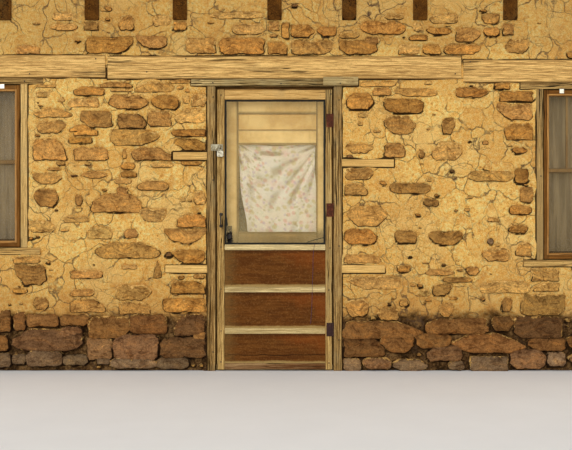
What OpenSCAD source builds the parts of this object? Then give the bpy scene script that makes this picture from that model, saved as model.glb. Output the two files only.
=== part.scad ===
// One-room house of rubble sandstone laid in adobe mud, with a flat earth roof on timber joists.
// The front faces -Y, and +X is to the right of somebody who looks at the front. The origin is on
// the ground, at the middle of the walls' footprint.

/* [House] */
// Length of the front wall
house_w = 7000; // [6600:50:8000]
// Depth from the front face to the back face
house_d = 4800; // [4200:50:6000]
// Thickness of the masonry walls
wall_t = 450; // [380:10:560]
// Height of masonry between the door lintel and the joists
band_h = 255; // [200:5:400]
// Thickness of the earth floor inside
floor_t = 35; // [20:1:38]

/* [Lintels] */
// Height of a lintel timber
lintel_h = 160; // [140:5:200]
// Length of the door lintel
door_lintel_l = 2500; // [1500:20:2600]
// How far the door lintel lies right of the door's middle
door_lintel_shift = 70; // [0:10:90]
// Bearing of a window lintel beside its opening
window_bearing = 520; // [200:20:520]
// How far the lintels stand out of the wall face
lintel_proud = 8; // [0:1:20]
// Timbers laid side by side in a lintel
lintel_timbers = 3; // [2:1:3]
// Gap between the timbers of a lintel
timber_gap = 5; // [2:1:10]
// Gap between the door lintel's ends and the lintels of the windows beside it
lintel_gap = 15; // [5:1:40]

/* [Roof] */
// Width of a joist
joist_w = 100; // [80:5:140]
// Height of a joist
joist_h = 150; // [120:5:200]
// Mean distance between the joists
joist_pitch = 595; // [560:5:600]
// How far the joists' ends stand out of the front and back walls
joist_proud = 12; // [0:1:40]
// Thickness of the roof boards
deck_t = 25; // [20:1:40]
// How far the roof boards reach over the walls
deck_bearing = 100; // [60:5:200]
// Thickness of the roof earth at the front
earth_front_t = 180; // [140:5:260]
// Thickness of the roof earth at the back
earth_back_t = 120; // [80:5:140]
// Height of the parapet above the joists
parapet_h = 480; // [400:10:600]
// Thickness of the parapet
parapet_t = 400; // [300:10:450]
// Radius of the parapet's rounded top edges
parapet_r = 110; // [20:5:140]

/* [Roof drains] */
// Outer width of a drain trough
drain_w = 150; // [120:5:200]
// Outer height of a drain trough
drain_h = 110; // [80:5:140]
// Thickness of a trough's boards
drain_board = 20; // [15:1:30]
// How far a trough stands out of the back wall
drain_out = 340; // [200:10:450]
// How far a trough reaches over the roof earth
drain_in = 90; // [40:10:150]
// Distance of each trough from the middle of the house
drain_x = 1500; // [800:50:2000]

/* [Door frame] */
// Width between the door jambs
door_clear_w = 834; // [820:2:900]
// Gap between the screen door and the head board
door_head_gap = 24; // [15:1:40]
// Height of the door's head board
door_head_h = 50; // [40:1:80]
// Width of a door jamb seen from the front
jamb_w = 60; // [45:1:80]
// Depth of the door and window frames
frame_depth = 140; // [130:1:150]
// How far the head board reaches past the jambs into the wall
head_horn = 113; // [60:1:150]
// How far the head board stands out of the wall face
head_proud = 12; // [0:1:20]
// Length of the separate board nailed on the right end of the head
head_patch_l = 247; // [100:1:300]
// Thickness of that board
head_patch_t = 14; // [8:1:25]
// How far that board reaches up over the lintel
head_patch_lap = 13; // [5:1:30]
// Thickness of the stop strips
stop_t = 12; // [8:1:15]
// Depth of the stop strips
stop_depth = 45; // [20:1:50]
// Height of the door sill
door_sill_h = 40; // [39:1:50]
// Height of a timber block built into the wall beside the jambs
block_h = 57; // [40:1:70]
// Depth of those blocks
block_depth = 150; // [100:5:200]

/* [Screen door] */
// Width of the screen door
leaf_w = 813; // [780:1:820]
// Height of the screen door
leaf_h = 1981; // [1900:1:2100]
// Thickness of the screen door
leaf_t = 28; // [22:1:32]
// Height of the screen door's lower edge above the ground
leaf_z = 10; // [6:1:20]
// Width of the lock stile
lock_stile_w = 53; // [48:1:70]
// Width of the hinge stile
hinge_stile_w = 46; // [44:1:70]
// Height of the top rail
top_rail_h = 71; // [50:1:90]
// Height of the lock rail and the two rails below it
mid_rail_h = 40; // [30:1:60]
// Height of the bottom rail
bottom_rail_h = 44; // [30:1:90]
// Height of the lock rail's underside above the ground
lock_rail_z = 854; // [800:1:900]
// Height of the upper panel rail's underside
upper_rail_z = 555; // [500:1:600]
// Height of the lower panel rail's underside
lower_rail_z = 262; // [220:1:320]
// Thickness of the panel boards
panel_t = 12; // [8:1:16]
// Thickness of the wire cloth
wire_t = 1; // [1:0.5:2]
// Distance of the torn hole from the lock stile
tear_x = 17; // [5:1:60]
// Distance of the torn hole from the lock rail
tear_z = 9; // [5:1:60]
// Width of the hole torn in the wire cloth
tear_w = 36; // [10:1:60]
// Height of the hole torn in the wire cloth
tear_h = 78; // [20:1:120]

/* [Door hinges] */
// Height of a hinge
hinge_h = 95; // [80:1:110]
// Width of a hinge plate on the door
hinge_plate_w = 38; // [30:1:40]
// Thickness of a hinge plate
hinge_t = 2; // [1.5:0.1:3]
// Distance from a hinge pin to the back edge of the leaf on the jamb
hinge_leaf_d = 28; // [20:1:32]
// Radius of a hinge knuckle
knuckle_r = 6; // [5:0.5:7]
// Radius of a hinge pin
pin_r = 2.5; // [2:0.1:3]
// Running gap between a pin and its bore
pin_gap = 0.08; // [0.02:0.01:0.1]
// Gap between two knuckles
knuckle_gap = 0.5; // [0.3:0.1:1]

/* [Screen door hardware] */
// Length of the hasp strap
hasp_l = 85; // [70:1:90]
// Height of the hasp strap
hasp_h = 45; // [36:1:60]
// Thickness of the hasp strap
hasp_t = 2; // [1.5:0.1:3]
// Clearance of the strap over the jamb
hasp_clear = 5; // [5:0.5:8]
// Distance of the hasp's end from the edge of the wire cloth
hasp_inset = 10; // [4:1:14]
// Distance of the staple from the edge of the wire cloth
staple_inset = 29; // [25:1:32]
// Height of the hasp's middle
hasp_z = 1580; // [1400:5:1700]
// Width of the padlock
padlock_w = 44; // [36:1:50]
// Height of the padlock's body
padlock_h = 40; // [34:1:50]
// Thickness of the padlock's body
padlock_t = 18; // [14:1:20]
// Radius of the padlock's lower corners
padlock_corner = 8; // [3:1:12]
// Straight part of the shackle's legs
shackle_leg = 10; // [6:1:16]
// Gap between the shackle and the strap
shackle_gap = 2.5; // [1:0.5:4]
// Radius of the shackle's rod
shackle_r = 2.5; // [2:0.1:3]
// Radius of the shackle's bend
shackle_bend = 12; // [10:0.5:15]
// Radius of the staple's rod
staple_r = 2; // [1.5:0.1:2.5]
// Radius of the staple's bend
staple_bend = 9; // [8:0.5:11]
// Distance between the two feet of the pull handle
pull_span = 82; // [60:1:120]
// How far the pull handle stands out
pull_out = 38; // [30:1:50]
// Thickness of the string that hangs over the lock rail
string_d = 2.5; // [2:0.5:4]
// Radius of the pull handle's rod
pull_r = 5; // [4:0.5:7]
// Radius of the pull handle's bends
pull_bend = 12; // [8:1:14]
// Radius of the pull handle's feet
pull_foot_r = 12; // [8:1:16]
// Thickness of the pull handle's feet
pull_foot_t = 4; // [2:0.5:6]
// Distance of the pull handle from the edge of the wire cloth
pull_inset = 24; // [20:1:30]
// Height of the pull handle's middle
pull_z = 1066; // [950:1:1150]

/* [Front door] */
// Running gap round the front door
front_gap = 8; // [6:1:10]
// Thickness of the front door
front_t = 36; // [32:1:40]
// Width of the front door's lock stile
front_lock_stile = 148; // [120:1:160]
// Width of the front door's hinge stile
front_hinge_stile = 110; // [90:1:160]
// Height of the front door's top rail
front_top_rail_h = 181; // [120:1:200]
// Height of the panel under the top rail
upper_panel_h = 108; // [80:1:130]
// Height of the cross rail between that panel and the glass
cross_rail_h = 108; // [80:1:120]
// Height of the lower edge of the glass
glass_bottom_z = 983; // [950:1:1000]
// Height of the front door's lock rail
front_lock_rail_h = 180; // [150:1:220]
// Height of the front door's bottom rail
front_bottom_rail_h = 210; // [150:1:240]
// Thickness of the front door's panels
front_panel_t = 20; // [14:1:24]
// Width of the bevel round a raised panel
bevel_w = 26; // [15:1:35]
// Depth of that bevel
bevel_d = 6; // [3:1:7]
// Thickness of the glass
glass_t = 4; // [3:0.5:6]
// Height of the door knobs
knob_z = 950; // [880:1:980]
// Distance of the knobs from the edge of the front door
knob_inset = 84; // [60:1:95]
// Radius of a knob
knob_r = 25; // [20:1:28]
// How far a knob stands out of the door
knob_out = 52; // [45:1:55]
// How much of the knob's round front is flat
knob_flat = 7; // [3:1:10]
// Radius of a knob's neck
knob_neck_r = 8; // [6:1:12]
// Width of the lock plates
lock_plate_w = 36; // [30:1:50]
// Height of the lock plates
lock_plate_h = 150; // [80:1:180]
// Thickness of the lock plates
lock_plate_t = 3; // [2:0.5:5]
// Thickness of the flowered curtain's folds
curtain_t = 8; // [4:1:12]
// How far the curtain laps over the door round the glass
curtain_lap = 25; // [10:1:40]
// How far the curtain hangs below the glass
curtain_drop = 15; // [0:1:40]

/* [Windows] */
// Width of the windows' openings in the masonry
window_w = 742; // [700:2:800]
// Width of a window's side jambs
casing_w = 50; // [40:1:70]
// Height of the head boards
window_head_h = 45; // [35:1:60]
// Height of the sill boards
window_sill_h = 45; // [35:1:60]
// How far a head board reaches into the wall on each side
window_head_horn = 113; // [50:1:150]
// How far a sill board reaches into the wall on each side
window_sill_horn = 92; // [50:1:150]
// How far a sill board stands out of the wall face
sill_proud = 12; // [0:1:30]
// Fall of a sill board's sloping edge
sill_wash = 10; // [4:1:15]
// Width of the window screens' stiles
screen_stile_w = 34; // [25:1:45]
// Height of the window screens' rails
screen_rail_h = 42; // [30:1:50]
// Thickness of the window screens
screen_t = 22; // [18:1:25]
// Depth of the window screens behind the wall face
screen_set = 8; // [2:1:15]
// Gap round a screen or sash
sash_gap = 0.5; // [0.3:0.1:0.9]
// Width of the sash stiles
sash_stile_w = 38; // [30:1:50]
// Height of the sashes' top rails
sash_top_h = 45; // [35:1:60]
// Height of the rails where two sashes meet
meeting_h = 30; // [24:1:40]
// Height of the lower sashes' bottom rails
sash_bottom_h = 60; // [45:1:80]
// Thickness of a sash
sash_t = 32; // [28:1:35]
// Upright glazing bars in an upper sash
glazing_bars = 3; // [1:1:4]
// Width of a glazing bar
bar_w = 16; // [12:1:22]
// Depth of a glazing bar
bar_depth = 13; // [8:1:14]
// How far the meeting rails lie above the middle of a window
meeting_rise = 30; // [0:5:60]
// How far a net curtain laps over the frame
net_lap = 20; // [10:1:30]
// How far a net curtain hangs above the sill
net_rise = 15; // [5:1:40]
// Thickness of a net curtain's folds
net_t = 8; // [4:1:12]

/* [Hidden] */
$fn = 32;

past = 50;
seat_gap = 0.3;
running_gap = 5;
door_gap = 6;
sash_step = 3;
slot_gap = 2;

front_y = -house_d / 2;
back_y = house_d / 2;
side_x = house_w / 2;
room_x = side_x - wall_t;
room_y = back_y - wall_t;
leaf_top = leaf_z + leaf_h;
door_head_z = leaf_top + door_head_gap;
lintel_z = door_head_z + door_head_h;
course_z = lintel_z + lintel_h;
joist_z = course_z + band_h;
deck_z = joist_z + joist_h;
earth_z = deck_z + deck_t;

// The joists are hewn by hand: how far each one lies right of its place in an even row, and how
// round its lower corners are
joist_shift = [147, 172, 197, 224, 297, 230, 137, 178, 188, 183];
joist_round = [16, 12, 20, 14, 16, 44, 14, 18, 12, 16];
joist_count = floor(2 * room_x / joist_pitch);
joist_x = [
  for (i = [0:joist_count - 1])
    (i - (joist_count - 1) / 2) * joist_pitch + joist_shift[i % len(joist_shift)]
];

// Each window: the way its wall turns, its place along that wall, the height of its sill's top and
// the height of its head's underside
WINDOWS = [
  [0, -2118, 872, 2029],
  [0, 2223, 785, 1995],
  [90, 0, 830, 2015],
  [-90, 0, 830, 2015],
  [180, -1750, 830, 2015],
  [180, 1750, 830, 2015]
];
FRONT_WINDOWS = [for (w = WINDOWS) if (w[0] == 0) w];
BACK_WINDOWS = [for (w = WINDOWS) if (w[0] == 180) w];

// Each timber block: its side of the door, its length and the height of its underside
BLOCKS = [
  [-1, 241, 1492],
  [-1, 297, 693],
  [1, 368, 1442],
  [1, 305, 693]
];

jamb_x = door_clear_w / 2;
doorway_x = jamb_x + jamb_w;
leaf_x = leaf_w / 2;
leaf_back_y = front_y + leaf_t;
front_face_y = front_y + frame_depth - front_t;
front_back_y = front_y + frame_depth;
front_x = jamb_x - front_gap;
front_z = door_sill_h + door_gap;
front_top = door_head_z - door_gap;
front_top_z = front_top - front_top_rail_h;
cross_top_z = front_top_z - upper_panel_h;
glass_top_z = cross_top_z - cross_rail_h;

window_clear_w = window_w - 2 * casing_w;
screen_w = window_clear_w - 2 * sash_gap;
upper_sash_y = screen_set + screen_t + sash_step;
lower_sash_y = upper_sash_y + sash_t + sash_step;

// Puts its children on a wall: x runs along the wall, y goes into it from its outer face
module on_wall(turn, along) {
  reach = turn == 0 || turn == 180 ? back_y : side_x;
  rotate([0, 0, turn]) translate([along, -reach, 0]) children();
}

// A box that is centred on x
module beam(w, d, h) {
  translate([-w / 2, 0, 0]) cube([w, d, h]);
}

door_lintel_left = door_lintel_shift - door_lintel_l / 2;
door_lintel_right = door_lintel_shift + door_lintel_l / 2;

// The two ends of a window's lintel along its wall. Beside the door it runs up to the door's lintel
function lintel_start(w) =
  w[0] == 0 && w[1] > 0 ? door_lintel_right + lintel_gap : w[1] - window_w / 2 - window_bearing;
function lintel_end(w) =
  w[0] == 0 && w[1] < 0 ? door_lintel_left - lintel_gap : w[1] + window_w / 2 + window_bearing;
function lintel_length(w) = lintel_end(w) - lintel_start(w);

module lintel_at(w) {
  on_wall(w[0], (lintel_start(w) + lintel_end(w)) / 2) translate([0, 0, w[3] + window_head_h]) children();
}

// The timbers of a lintel, side by side through the wall
module lintel(length) {
  timber_t = (wall_t + lintel_proud - (lintel_timbers - 1) * timber_gap) / lintel_timbers;
  for (i = [0:lintel_timbers - 1])
    translate([0, i * (timber_t + timber_gap) - lintel_proud, 0]) beam(length, timber_t, lintel_h);
}

// The hole in a wall for one window, its lintel and the ends of its head and sill boards
module window_hole(w) {
  head_z = w[3];
  sill_z = w[2] - window_sill_h;
  on_wall(w[0], w[1]) {
    translate([0, -past, sill_z]) beam(window_w, frame_depth + past, head_z + window_head_h - sill_z);
    translate([0, frame_depth - past, w[2]])
      beam(window_w, wall_t + 2 * past - frame_depth, head_z + window_head_h - w[2]);
    translate([0, -past, head_z])
      beam(window_w + 2 * window_head_horn, frame_depth + past, window_head_h);
    translate([0, -past, sill_z])
      beam(window_w + 2 * window_sill_horn, frame_depth + past, window_sill_h);
  }
  lintel_at(w) translate([0, -past, 0]) beam(lintel_length(w), wall_t + 2 * past, lintel_h);
}

// The space over a window's lintel, which belongs to the masonry above
module over_lintel(w) {
  fill_h = course_z - w[3] - window_head_h - lintel_h;
  if (fill_h > 0) lintel_at(w) translate([0, 0, lintel_h]) beam(lintel_length(w), wall_t, fill_h);
}

module door_lintel_space() {
  translate([door_lintel_shift, front_y - past, lintel_z])
    beam(door_lintel_l, wall_t + 2 * past, lintel_h + past);
}

module block_at(b, d) {
  left = b[0] < 0 ? -doorway_x - b[1] : doorway_x;
  translate([left, front_y, b[2]]) cube([b[1], d, block_h]);
}

// Front wall beside the door: side is -1 for the left part and 1 for the right part
module front_wall_side(side) {
  color("tan") difference() {
    translate([side < 0 ? -side_x : doorway_x, front_y, 0])
      cube([side_x - doorway_x, wall_t, course_z]);
    door_lintel_space();
    translate([0, front_y, door_head_z])
      beam(2 * doorway_x + 2 * head_horn, frame_depth, door_head_h);
    for (w = FRONT_WINDOWS) {
      window_hole(w);
      over_lintel(w);
    }
    for (b = BLOCKS) block_at(b, block_depth);
  }
}

module front_wall_left() {
  front_wall_side(-1);
}

module front_wall_right() {
  front_wall_side(1);
}

// A joist's section: an upright whose lower corners are hewn round
module joist_section(r) {
  translate([-joist_w / 2, r]) square([joist_w, joist_h - r]);
  translate([r - joist_w / 2, 0]) square([joist_w - 2 * r, 2 * r]);
  for (side = [-1, 1]) translate([side * (joist_w / 2 - r), r]) circle(r);
}

module joist_spaces() {
  for (x = joist_x) translate([x, -back_y - past, joist_z])
    beam(joist_w, house_d + 2 * past, joist_h + past);
}

// Masonry over the lintels of the wall that starts at y and has the given windows
module wall_top(y, windows) {
  color("tan") difference() {
    union() {
      translate([-side_x, y, course_z]) cube([house_w, wall_t, deck_z - course_z]);
      for (w = windows) over_lintel(w);
    }
    for (w = windows) window_hole(w);
    joist_spaces();
  }
}

module front_wall_top() {
  wall_top(front_y, FRONT_WINDOWS);
}

module back_wall_top() {
  wall_top(room_y, BACK_WINDOWS);
}

module back_wall() {
  color("tan") difference() {
    translate([-side_x, room_y, 0]) cube([house_w, wall_t, course_z]);
    for (w = BACK_WINDOWS) {
      window_hole(w);
      over_lintel(w);
    }
  }
}

// Wall across the end of the house: side is -1 on the left and 1 on the right
module end_wall(side) {
  color("tan") difference() {
    translate([side < 0 ? -side_x : room_x, -room_y, 0]) cube([wall_t, 2 * room_y, deck_z]);
    for (w = WINDOWS) if (w[0] == side * 90) window_hole(w);
  }
}

module left_wall() {
  end_wall(-1);
}

module right_wall() {
  end_wall(1);
}

// Section of the parapet, outer face at 0, with its upper edges rounded
module parapet_section() {
  square([parapet_t, parapet_h - parapet_r]);
  translate([parapet_r, 0]) square([parapet_t - 2 * parapet_r, parapet_h]);
  for (x = [parapet_r, parapet_t - parapet_r]) translate([x, parapet_h - parapet_r]) circle(parapet_r);
}

// One side of the parapet, mitred at both ends, along x with its outer face on y = 0
module parapet_run(length) {
  intersection() {
    translate([-length / 2, 0, 0]) rotate([90, 0, 90]) linear_extrude(length) parapet_section();
    linear_extrude(parapet_h) polygon([
      [-length / 2, 0],
      [length / 2, 0],
      [length / 2 - parapet_t, parapet_t],
      [parapet_t - length / 2, parapet_t]
    ]);
  }
}

module deck_slab() {
  translate([-room_x - deck_bearing, -room_y - deck_bearing, deck_z])
    cube([2 * (room_x + deck_bearing), 2 * (room_y + deck_bearing), deck_t]);
}

// Places something on the roof drains: x across the trough, y along it towards the back
module at_drains() {
  for (side = [-1, 1])
    translate([side * drain_x, back_y - parapet_t - drain_in, earth_z + earth_back_t]) children();
}

drain_l = drain_in + parapet_t + drain_out;

module parapet() {
  color("tan") difference() {
    translate([0, 0, deck_z]) for (turn = [0, 90, 180, 270])
      on_wall(turn, 0) parapet_run(turn == 0 || turn == 180 ? house_w : house_d);
    deck_slab();
    at_drains() beam(drain_w, drain_l, drain_h);
  }
}

// Earth on the roof boards, falling to the back
module roof_earth() {
  inner_x = side_x - parapet_t;
  inner_y = back_y - parapet_t;
  color("peru") translate([-inner_x, 0, 0]) rotate([90, 0, 90]) linear_extrude(2 * inner_x)
    polygon([
      [-inner_y, earth_z],
      [inner_y, earth_z],
      [inner_y, earth_z + earth_back_t],
      [inner_y - drain_in, earth_z + earth_back_t],
      [-inner_y, earth_z + earth_front_t]
    ]);
}

module roof_boards() {
  color("burlywood") deck_slab();
}

module roof_joists() {
  length = house_d + 2 * joist_proud;
  color("dimgray") for (i = [0:joist_count - 1])
    translate([joist_x[i], length / 2, joist_z]) rotate([90, 0, 0])
      linear_extrude(length) joist_section(joist_round[i % len(joist_round)]);
}

// Open wooden troughs that carry rain through the back of the parapet
module roof_drains() {
  color("gray") at_drains() difference() {
    beam(drain_w, drain_l, drain_h);
    translate([0, -past, drain_board])
      beam(drain_w - 2 * drain_board, drain_l + 2 * past, drain_h);
  }
}

// Beaten earth floor, which also fills the doorway behind the frame
module earth_floor() {
  color("peru") linear_extrude(floor_t) {
    square([2 * room_x, 2 * room_y], center = true);
    translate([-doorway_x, front_back_y]) square([2 * doorway_x, wall_t - frame_depth + past]);
  }
}

module door_lintel() {
  color("goldenrod") translate([door_lintel_shift, front_y, lintel_z]) lintel(door_lintel_l);
}

module window_lintels() {
  color("goldenrod") for (w = WINDOWS) lintel_at(w) lintel(lintel_length(w));
}

module nailing_blocks() {
  color("rosybrown") for (b = BLOCKS) block_at(b, block_depth);
}

module door_jambs() {
  color("darkkhaki") for (left = [-doorway_x, jamb_x])
    translate([left, front_y, 0]) cube([jamb_w, frame_depth, door_head_z]);
}

head_half = doorway_x + head_horn;

module door_head() {
  color("gray") translate([0, front_y - head_proud, door_head_z])
    beam(2 * head_half, frame_depth + head_proud, door_head_h);
}

module door_head_patch() {
  color("darkgray") translate([head_half - head_patch_l, front_y - head_proud - head_patch_t, door_head_z])
    cube([head_patch_l, head_patch_t, door_head_h + head_patch_lap]);
}

// Strips on the jambs and the head that the front door shuts against
module door_stops() {
  stop_y = front_face_y - running_gap - stop_depth;
  head_stop_h = door_head_z - leaf_top - running_gap;
  color("saddlebrown") {
    for (side = [-1, 1])
      translate([side < 0 ? -jamb_x : jamb_x - stop_t, stop_y, door_sill_h])
        cube([stop_t, stop_depth, door_head_z - door_sill_h]);
    translate([0, stop_y, door_head_z - head_stop_h])
      beam(door_clear_w - 2 * stop_t, stop_depth, head_stop_h);
  }
}

module door_sill() {
  color("gray") translate([0, leaf_back_y + running_gap, 0])
    beam(door_clear_w, frame_depth - leaf_t - running_gap, door_sill_h);
}

// Heights of the hinges' middles
HINGE_Z = [leaf_z + 283, leaf_z + 1128, leaf_top - 220];
FRONT_HINGE_Z = [front_z + 254, front_z + 989, front_top - 259];
screen_pin_x = (leaf_x + jamb_x) / 2;
screen_pin_y = front_y - knuckle_r;
front_pin_x = (front_x + jamb_x) / 2;
front_pin_y = front_back_y + knuckle_r;

knuckle_h = (hinge_h - 2 * knuckle_gap) / 3;

module at_screen_hinges() {
  for (z = HINGE_Z) translate([screen_pin_x, screen_pin_y, z - hinge_h / 2]) children();
}

module at_front_hinges() {
  for (z = FRONT_HINGE_Z)
    translate([front_pin_x, front_pin_y, z - hinge_h / 2]) mirror([0, 1, 0]) children();
}

// Door half of a hinge about its pin: a plate on the door's face and the two end knuckles
module hinge_door_half() {
  plate_x = knuckle_r + knuckle_gap;
  difference() {
    union() {
      translate([-plate_x - hinge_plate_w, knuckle_r - hinge_t, 0]) cube([hinge_plate_w, hinge_t, hinge_h]);
      for (z = [0, hinge_h - knuckle_h]) translate([0, 0, z]) {
        translate([-plate_x, knuckle_r - hinge_t, 0]) cube([plate_x, hinge_t, knuckle_h]);
        cylinder(r = knuckle_r, h = knuckle_h);
      }
    }
    translate([0, 0, -past]) cylinder(r = pin_r + pin_gap, h = hinge_h + 2 * past);
  }
}

// Jamb half of a hinge about its pin: a leaf in the gap on the jamb's side, the middle knuckle and
// the pin. edge is the distance from the pin to the jamb
module hinge_jamb_half(edge) {
  clear = knuckle_r + knuckle_gap;
  translate([edge - hinge_t, clear, 0]) cube([hinge_t, hinge_leaf_d - clear, hinge_h]);
  translate([0, 0, knuckle_h + knuckle_gap]) {
    cylinder(r = knuckle_r, h = knuckle_h);
    translate([edge - hinge_t, 0, 0]) cube([hinge_t, clear, knuckle_h]);
  }
  cylinder(r = pin_r, h = hinge_h);
}

module jamb_hinge_leaves() {
  color("sienna") {
    at_screen_hinges() hinge_jamb_half(jamb_x - screen_pin_x);
    at_front_hinges() hinge_jamb_half(jamb_x - front_pin_x);
  }
}

module screen_door_hinges() {
  color("sienna") at_screen_hinges() hinge_door_half();
}

module front_door_hinges() {
  color("dimgray") at_front_hinges() hinge_door_half();
}

module screen_door_stiles() {
  color("darkkhaki") translate([0, front_y, leaf_z]) {
    translate([-leaf_x, 0, 0]) cube([lock_stile_w, leaf_t, leaf_h]);
    translate([leaf_x - hinge_stile_w, 0, 0]) cube([hinge_stile_w, leaf_t, leaf_h]);
  }
}

screen_left = lock_stile_w - leaf_x;
screen_right = leaf_x - hinge_stile_w;
RAILS = [
  [leaf_z, bottom_rail_h],
  [lower_rail_z, mid_rail_h],
  [upper_rail_z, mid_rail_h],
  [lock_rail_z, mid_rail_h],
  [leaf_top - top_rail_h, top_rail_h]
];

// Fills the space between the stiles from z to top, t thick in the middle of the door
module between_stiles(z, top, t) {
  translate([screen_left, front_y + (leaf_t - t) / 2, z])
    cube([screen_right - screen_left, t, top - z]);
}

module screen_door_rails() {
  color("darkkhaki") for (r = RAILS) between_stiles(r[0], r[0] + r[1], leaf_t);
}

module screen_door_panels() {
  color("saddlebrown") for (i = [0:2])
    between_stiles(RAILS[i][0] + RAILS[i][1], RAILS[i + 1][0], panel_t);
}

// Wire cloth of the screen door, torn at its lower left corner
module screen_door_wire() {
  low = lock_rail_z + mid_rail_h;
  color("silver") difference() {
    between_stiles(low, leaf_top - top_rail_h, wire_t);
    translate([screen_left + tear_x, front_y, low + tear_z]) cube([tear_w, leaf_t, tear_h]);
  }
}

staple_x = screen_left - staple_inset;
strap_y = front_y - hasp_clear - hasp_t;
staple_reach = hasp_clear + hasp_t + shackle_gap + shackle_r;

// Strap of the hasp on its pad, with the staple that carries the padlock
module hasp() {
  slot_h = 2 * (staple_bend + staple_r + slot_gap);
  pad_left = hasp_clear - leaf_x;
  pad_right = screen_left - hasp_inset;
  low = hasp_z - hasp_h / 2;
  color("gray") {
    difference() {
      union() {
        translate([pad_right - hasp_l, strap_y, low]) cube([hasp_l, hasp_t, hasp_h]);
        translate([pad_left, front_y - hasp_clear, low]) cube([pad_right - pad_left, hasp_clear, hasp_h]);
      }
      translate([staple_x, front_y - past, hasp_z - slot_h / 2])
        beam(2 * (staple_r + slot_gap), 2 * past, slot_h);
    }
    translate([staple_x, front_y, hasp_z]) rotate([0, 90, 0]) rotate([0, 0, 180]) {
      for (side = [-1, 1]) translate([side * staple_bend, 0, 0])
        rotate([-90, 0, 0]) cylinder(r = staple_r, h = staple_reach);
      translate([0, staple_reach, 0]) rotate_extrude(angle = 180)
        translate([staple_bend, 0]) circle(staple_r);
    }
  }
}

// Padlock that hangs from the staple
module padlock() {
  crown_z = hasp_z - staple_bend + staple_r + seat_gap + shackle_r;
  color("darkgray") translate([staple_x, front_y - staple_reach, crown_z - shackle_bend]) {
    rotate([90, 0, 0]) rotate_extrude(angle = 180) translate([shackle_bend, 0]) circle(shackle_r);
    for (side = [-1, 1]) translate([side * shackle_bend, 0, -shackle_leg])
      cylinder(r = shackle_r, h = shackle_leg);
    translate([0, padlock_t / 2, -shackle_leg - padlock_h]) rotate([90, 0, 0])
      linear_extrude(padlock_t) {
        translate([-padlock_w / 2, padlock_corner]) square([padlock_w, padlock_h - padlock_corner]);
        translate([padlock_corner - padlock_w / 2, 0]) square([padlock_w - 2 * padlock_corner, padlock_h]);
        for (side = [-1, 1]) translate([side * (padlock_w / 2 - padlock_corner), padlock_corner])
          circle(padlock_corner);
      }
  }
}

// Bowed pull handle on the lock stile
module screen_door_pull() {
  straight = pull_span / 2 - pull_bend;
  color("dimgray") translate([screen_left - pull_inset, front_y, pull_z]) for (end = [-1, 1]) {
    translate([0, 0, end * pull_span / 2]) rotate([90, 0, 0]) {
      cylinder(r = pull_foot_r, h = pull_foot_t);
      cylinder(r = pull_r, h = pull_out - pull_bend);
    }
    translate([0, pull_bend - pull_out, end * straight]) rotate([0, end > 0 ? -90 : 90, 0])
      rotate([0, 0, -90]) rotate_extrude(angle = 90) translate([pull_bend, 0]) circle(pull_r);
    translate([0, -pull_out, end > 0 ? 0 : -straight]) cylinder(r = pull_r, h = straight);
  }
}

// The string's way: out of the wire cloth, over the lock rail's edge and down to its loose end
STRING_ROUTE = [
  [284, -2387, 897],
  [284, -2393, 897],
  [284, -2398, 897],
  [283, -2401.5, 895.5],
  [282, -2403, 892],
  [281, -2403, 882],
  [278, -2403, 866],
  [275, -2403, 845],
  [273, -2403, 815],
  [272, -2402, 775],
  [272, -2402, 730],
  [270, -2402, 680],
  [268, -2402, 630],
  [267, -2403, 585],
  [266, -2403, 545],
  [265, -2402, 500],
  [263, -2402, 450],
  [260, -2402, 400],
  [257, -2402, 360],
  [255, -2402, 334]
];
string_steps = 4;
string_sides = 8;

// Point at t, from 0 to 1, between b and c on a smooth curve past a, b, c and d
function smooth_point(a, b, c, d, t) =
  0.5 * (2 * b + (c - a) * t + (2 * a - 5 * b + 4 * c - d) * t * t + (3 * b - a - 3 * c + d) * t * t * t);

// All points of a route, with steps of them to each stretch
function smooth_route(route, steps) =
  let (last = len(route) - 1) [
    for (i = [0:last - 1], k = [0:steps - 1])
      smooth_point(route[max(i - 1, 0)], route[i], route[i + 1], route[min(i + 2, last)], k / steps),
    route[last]
  ];

// A round tube of diameter d along points that never run along x
module tube(points, d, sides) {
  last = len(points) - 1;
  rings = [
    for (i = [0:last])
      let (
        step = points[min(i + 1, last)] - points[max(i - 1, 0)],
        way = step / norm(step),
        across = [1, 0, 0] - way[0] * way,
        u = across / norm(across),
        v = cross(way, u)
      )
      for (k = [0:sides - 1]) points[i] + d / 2 * (cos(360 * k / sides) * u + sin(360 * k / sides) * v)
  ];
  walls = [
    for (i = [0:last - 1], k = [0:sides - 1])
      let (a = i * sides + k, b = i * sides + (k + 1) % sides)
      for (corners = [[a, b, b + sides], [a, b + sides, a + sides]]) [corners[2], corners[1], corners[0]]
  ];
  polyhedron(rings, concat(
    walls,
    [[for (k = [0:sides - 1]) k]],
    [[for (k = [0:sides - 1]) (last + 1) * sides - 1 - k]]
  ));
}

module door_string() {
  color("indigo") tube(smooth_route(STRING_ROUTE, string_steps), string_d, string_sides);
}

front_left = front_lock_stile - front_x;
front_right = front_x - front_hinge_stile;

module front_door_stiles() {
  color("khaki") translate([0, front_face_y, front_z]) {
    translate([-front_x, 0, 0]) cube([front_lock_stile, front_t, front_top - front_z]);
    translate([front_right, 0, 0]) cube([front_hinge_stile, front_t, front_top - front_z]);
  }
}

// Fills the space between the front door's stiles from z to top, t thick in the middle of the door
module between_front_stiles(z, top, t) {
  translate([front_left, front_face_y + (front_t - t) / 2, z])
    cube([front_right - front_left, t, top - z]);
}

FRONT_RAILS = [
  [front_z, front_bottom_rail_h],
  [glass_bottom_z - front_lock_rail_h, front_lock_rail_h],
  [glass_top_z, cross_rail_h],
  [front_top_z, front_top_rail_h]
];

module front_door_rails() {
  color("khaki") for (r = FRONT_RAILS) between_front_stiles(r[0], r[0] + r[1], front_t);
}

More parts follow.
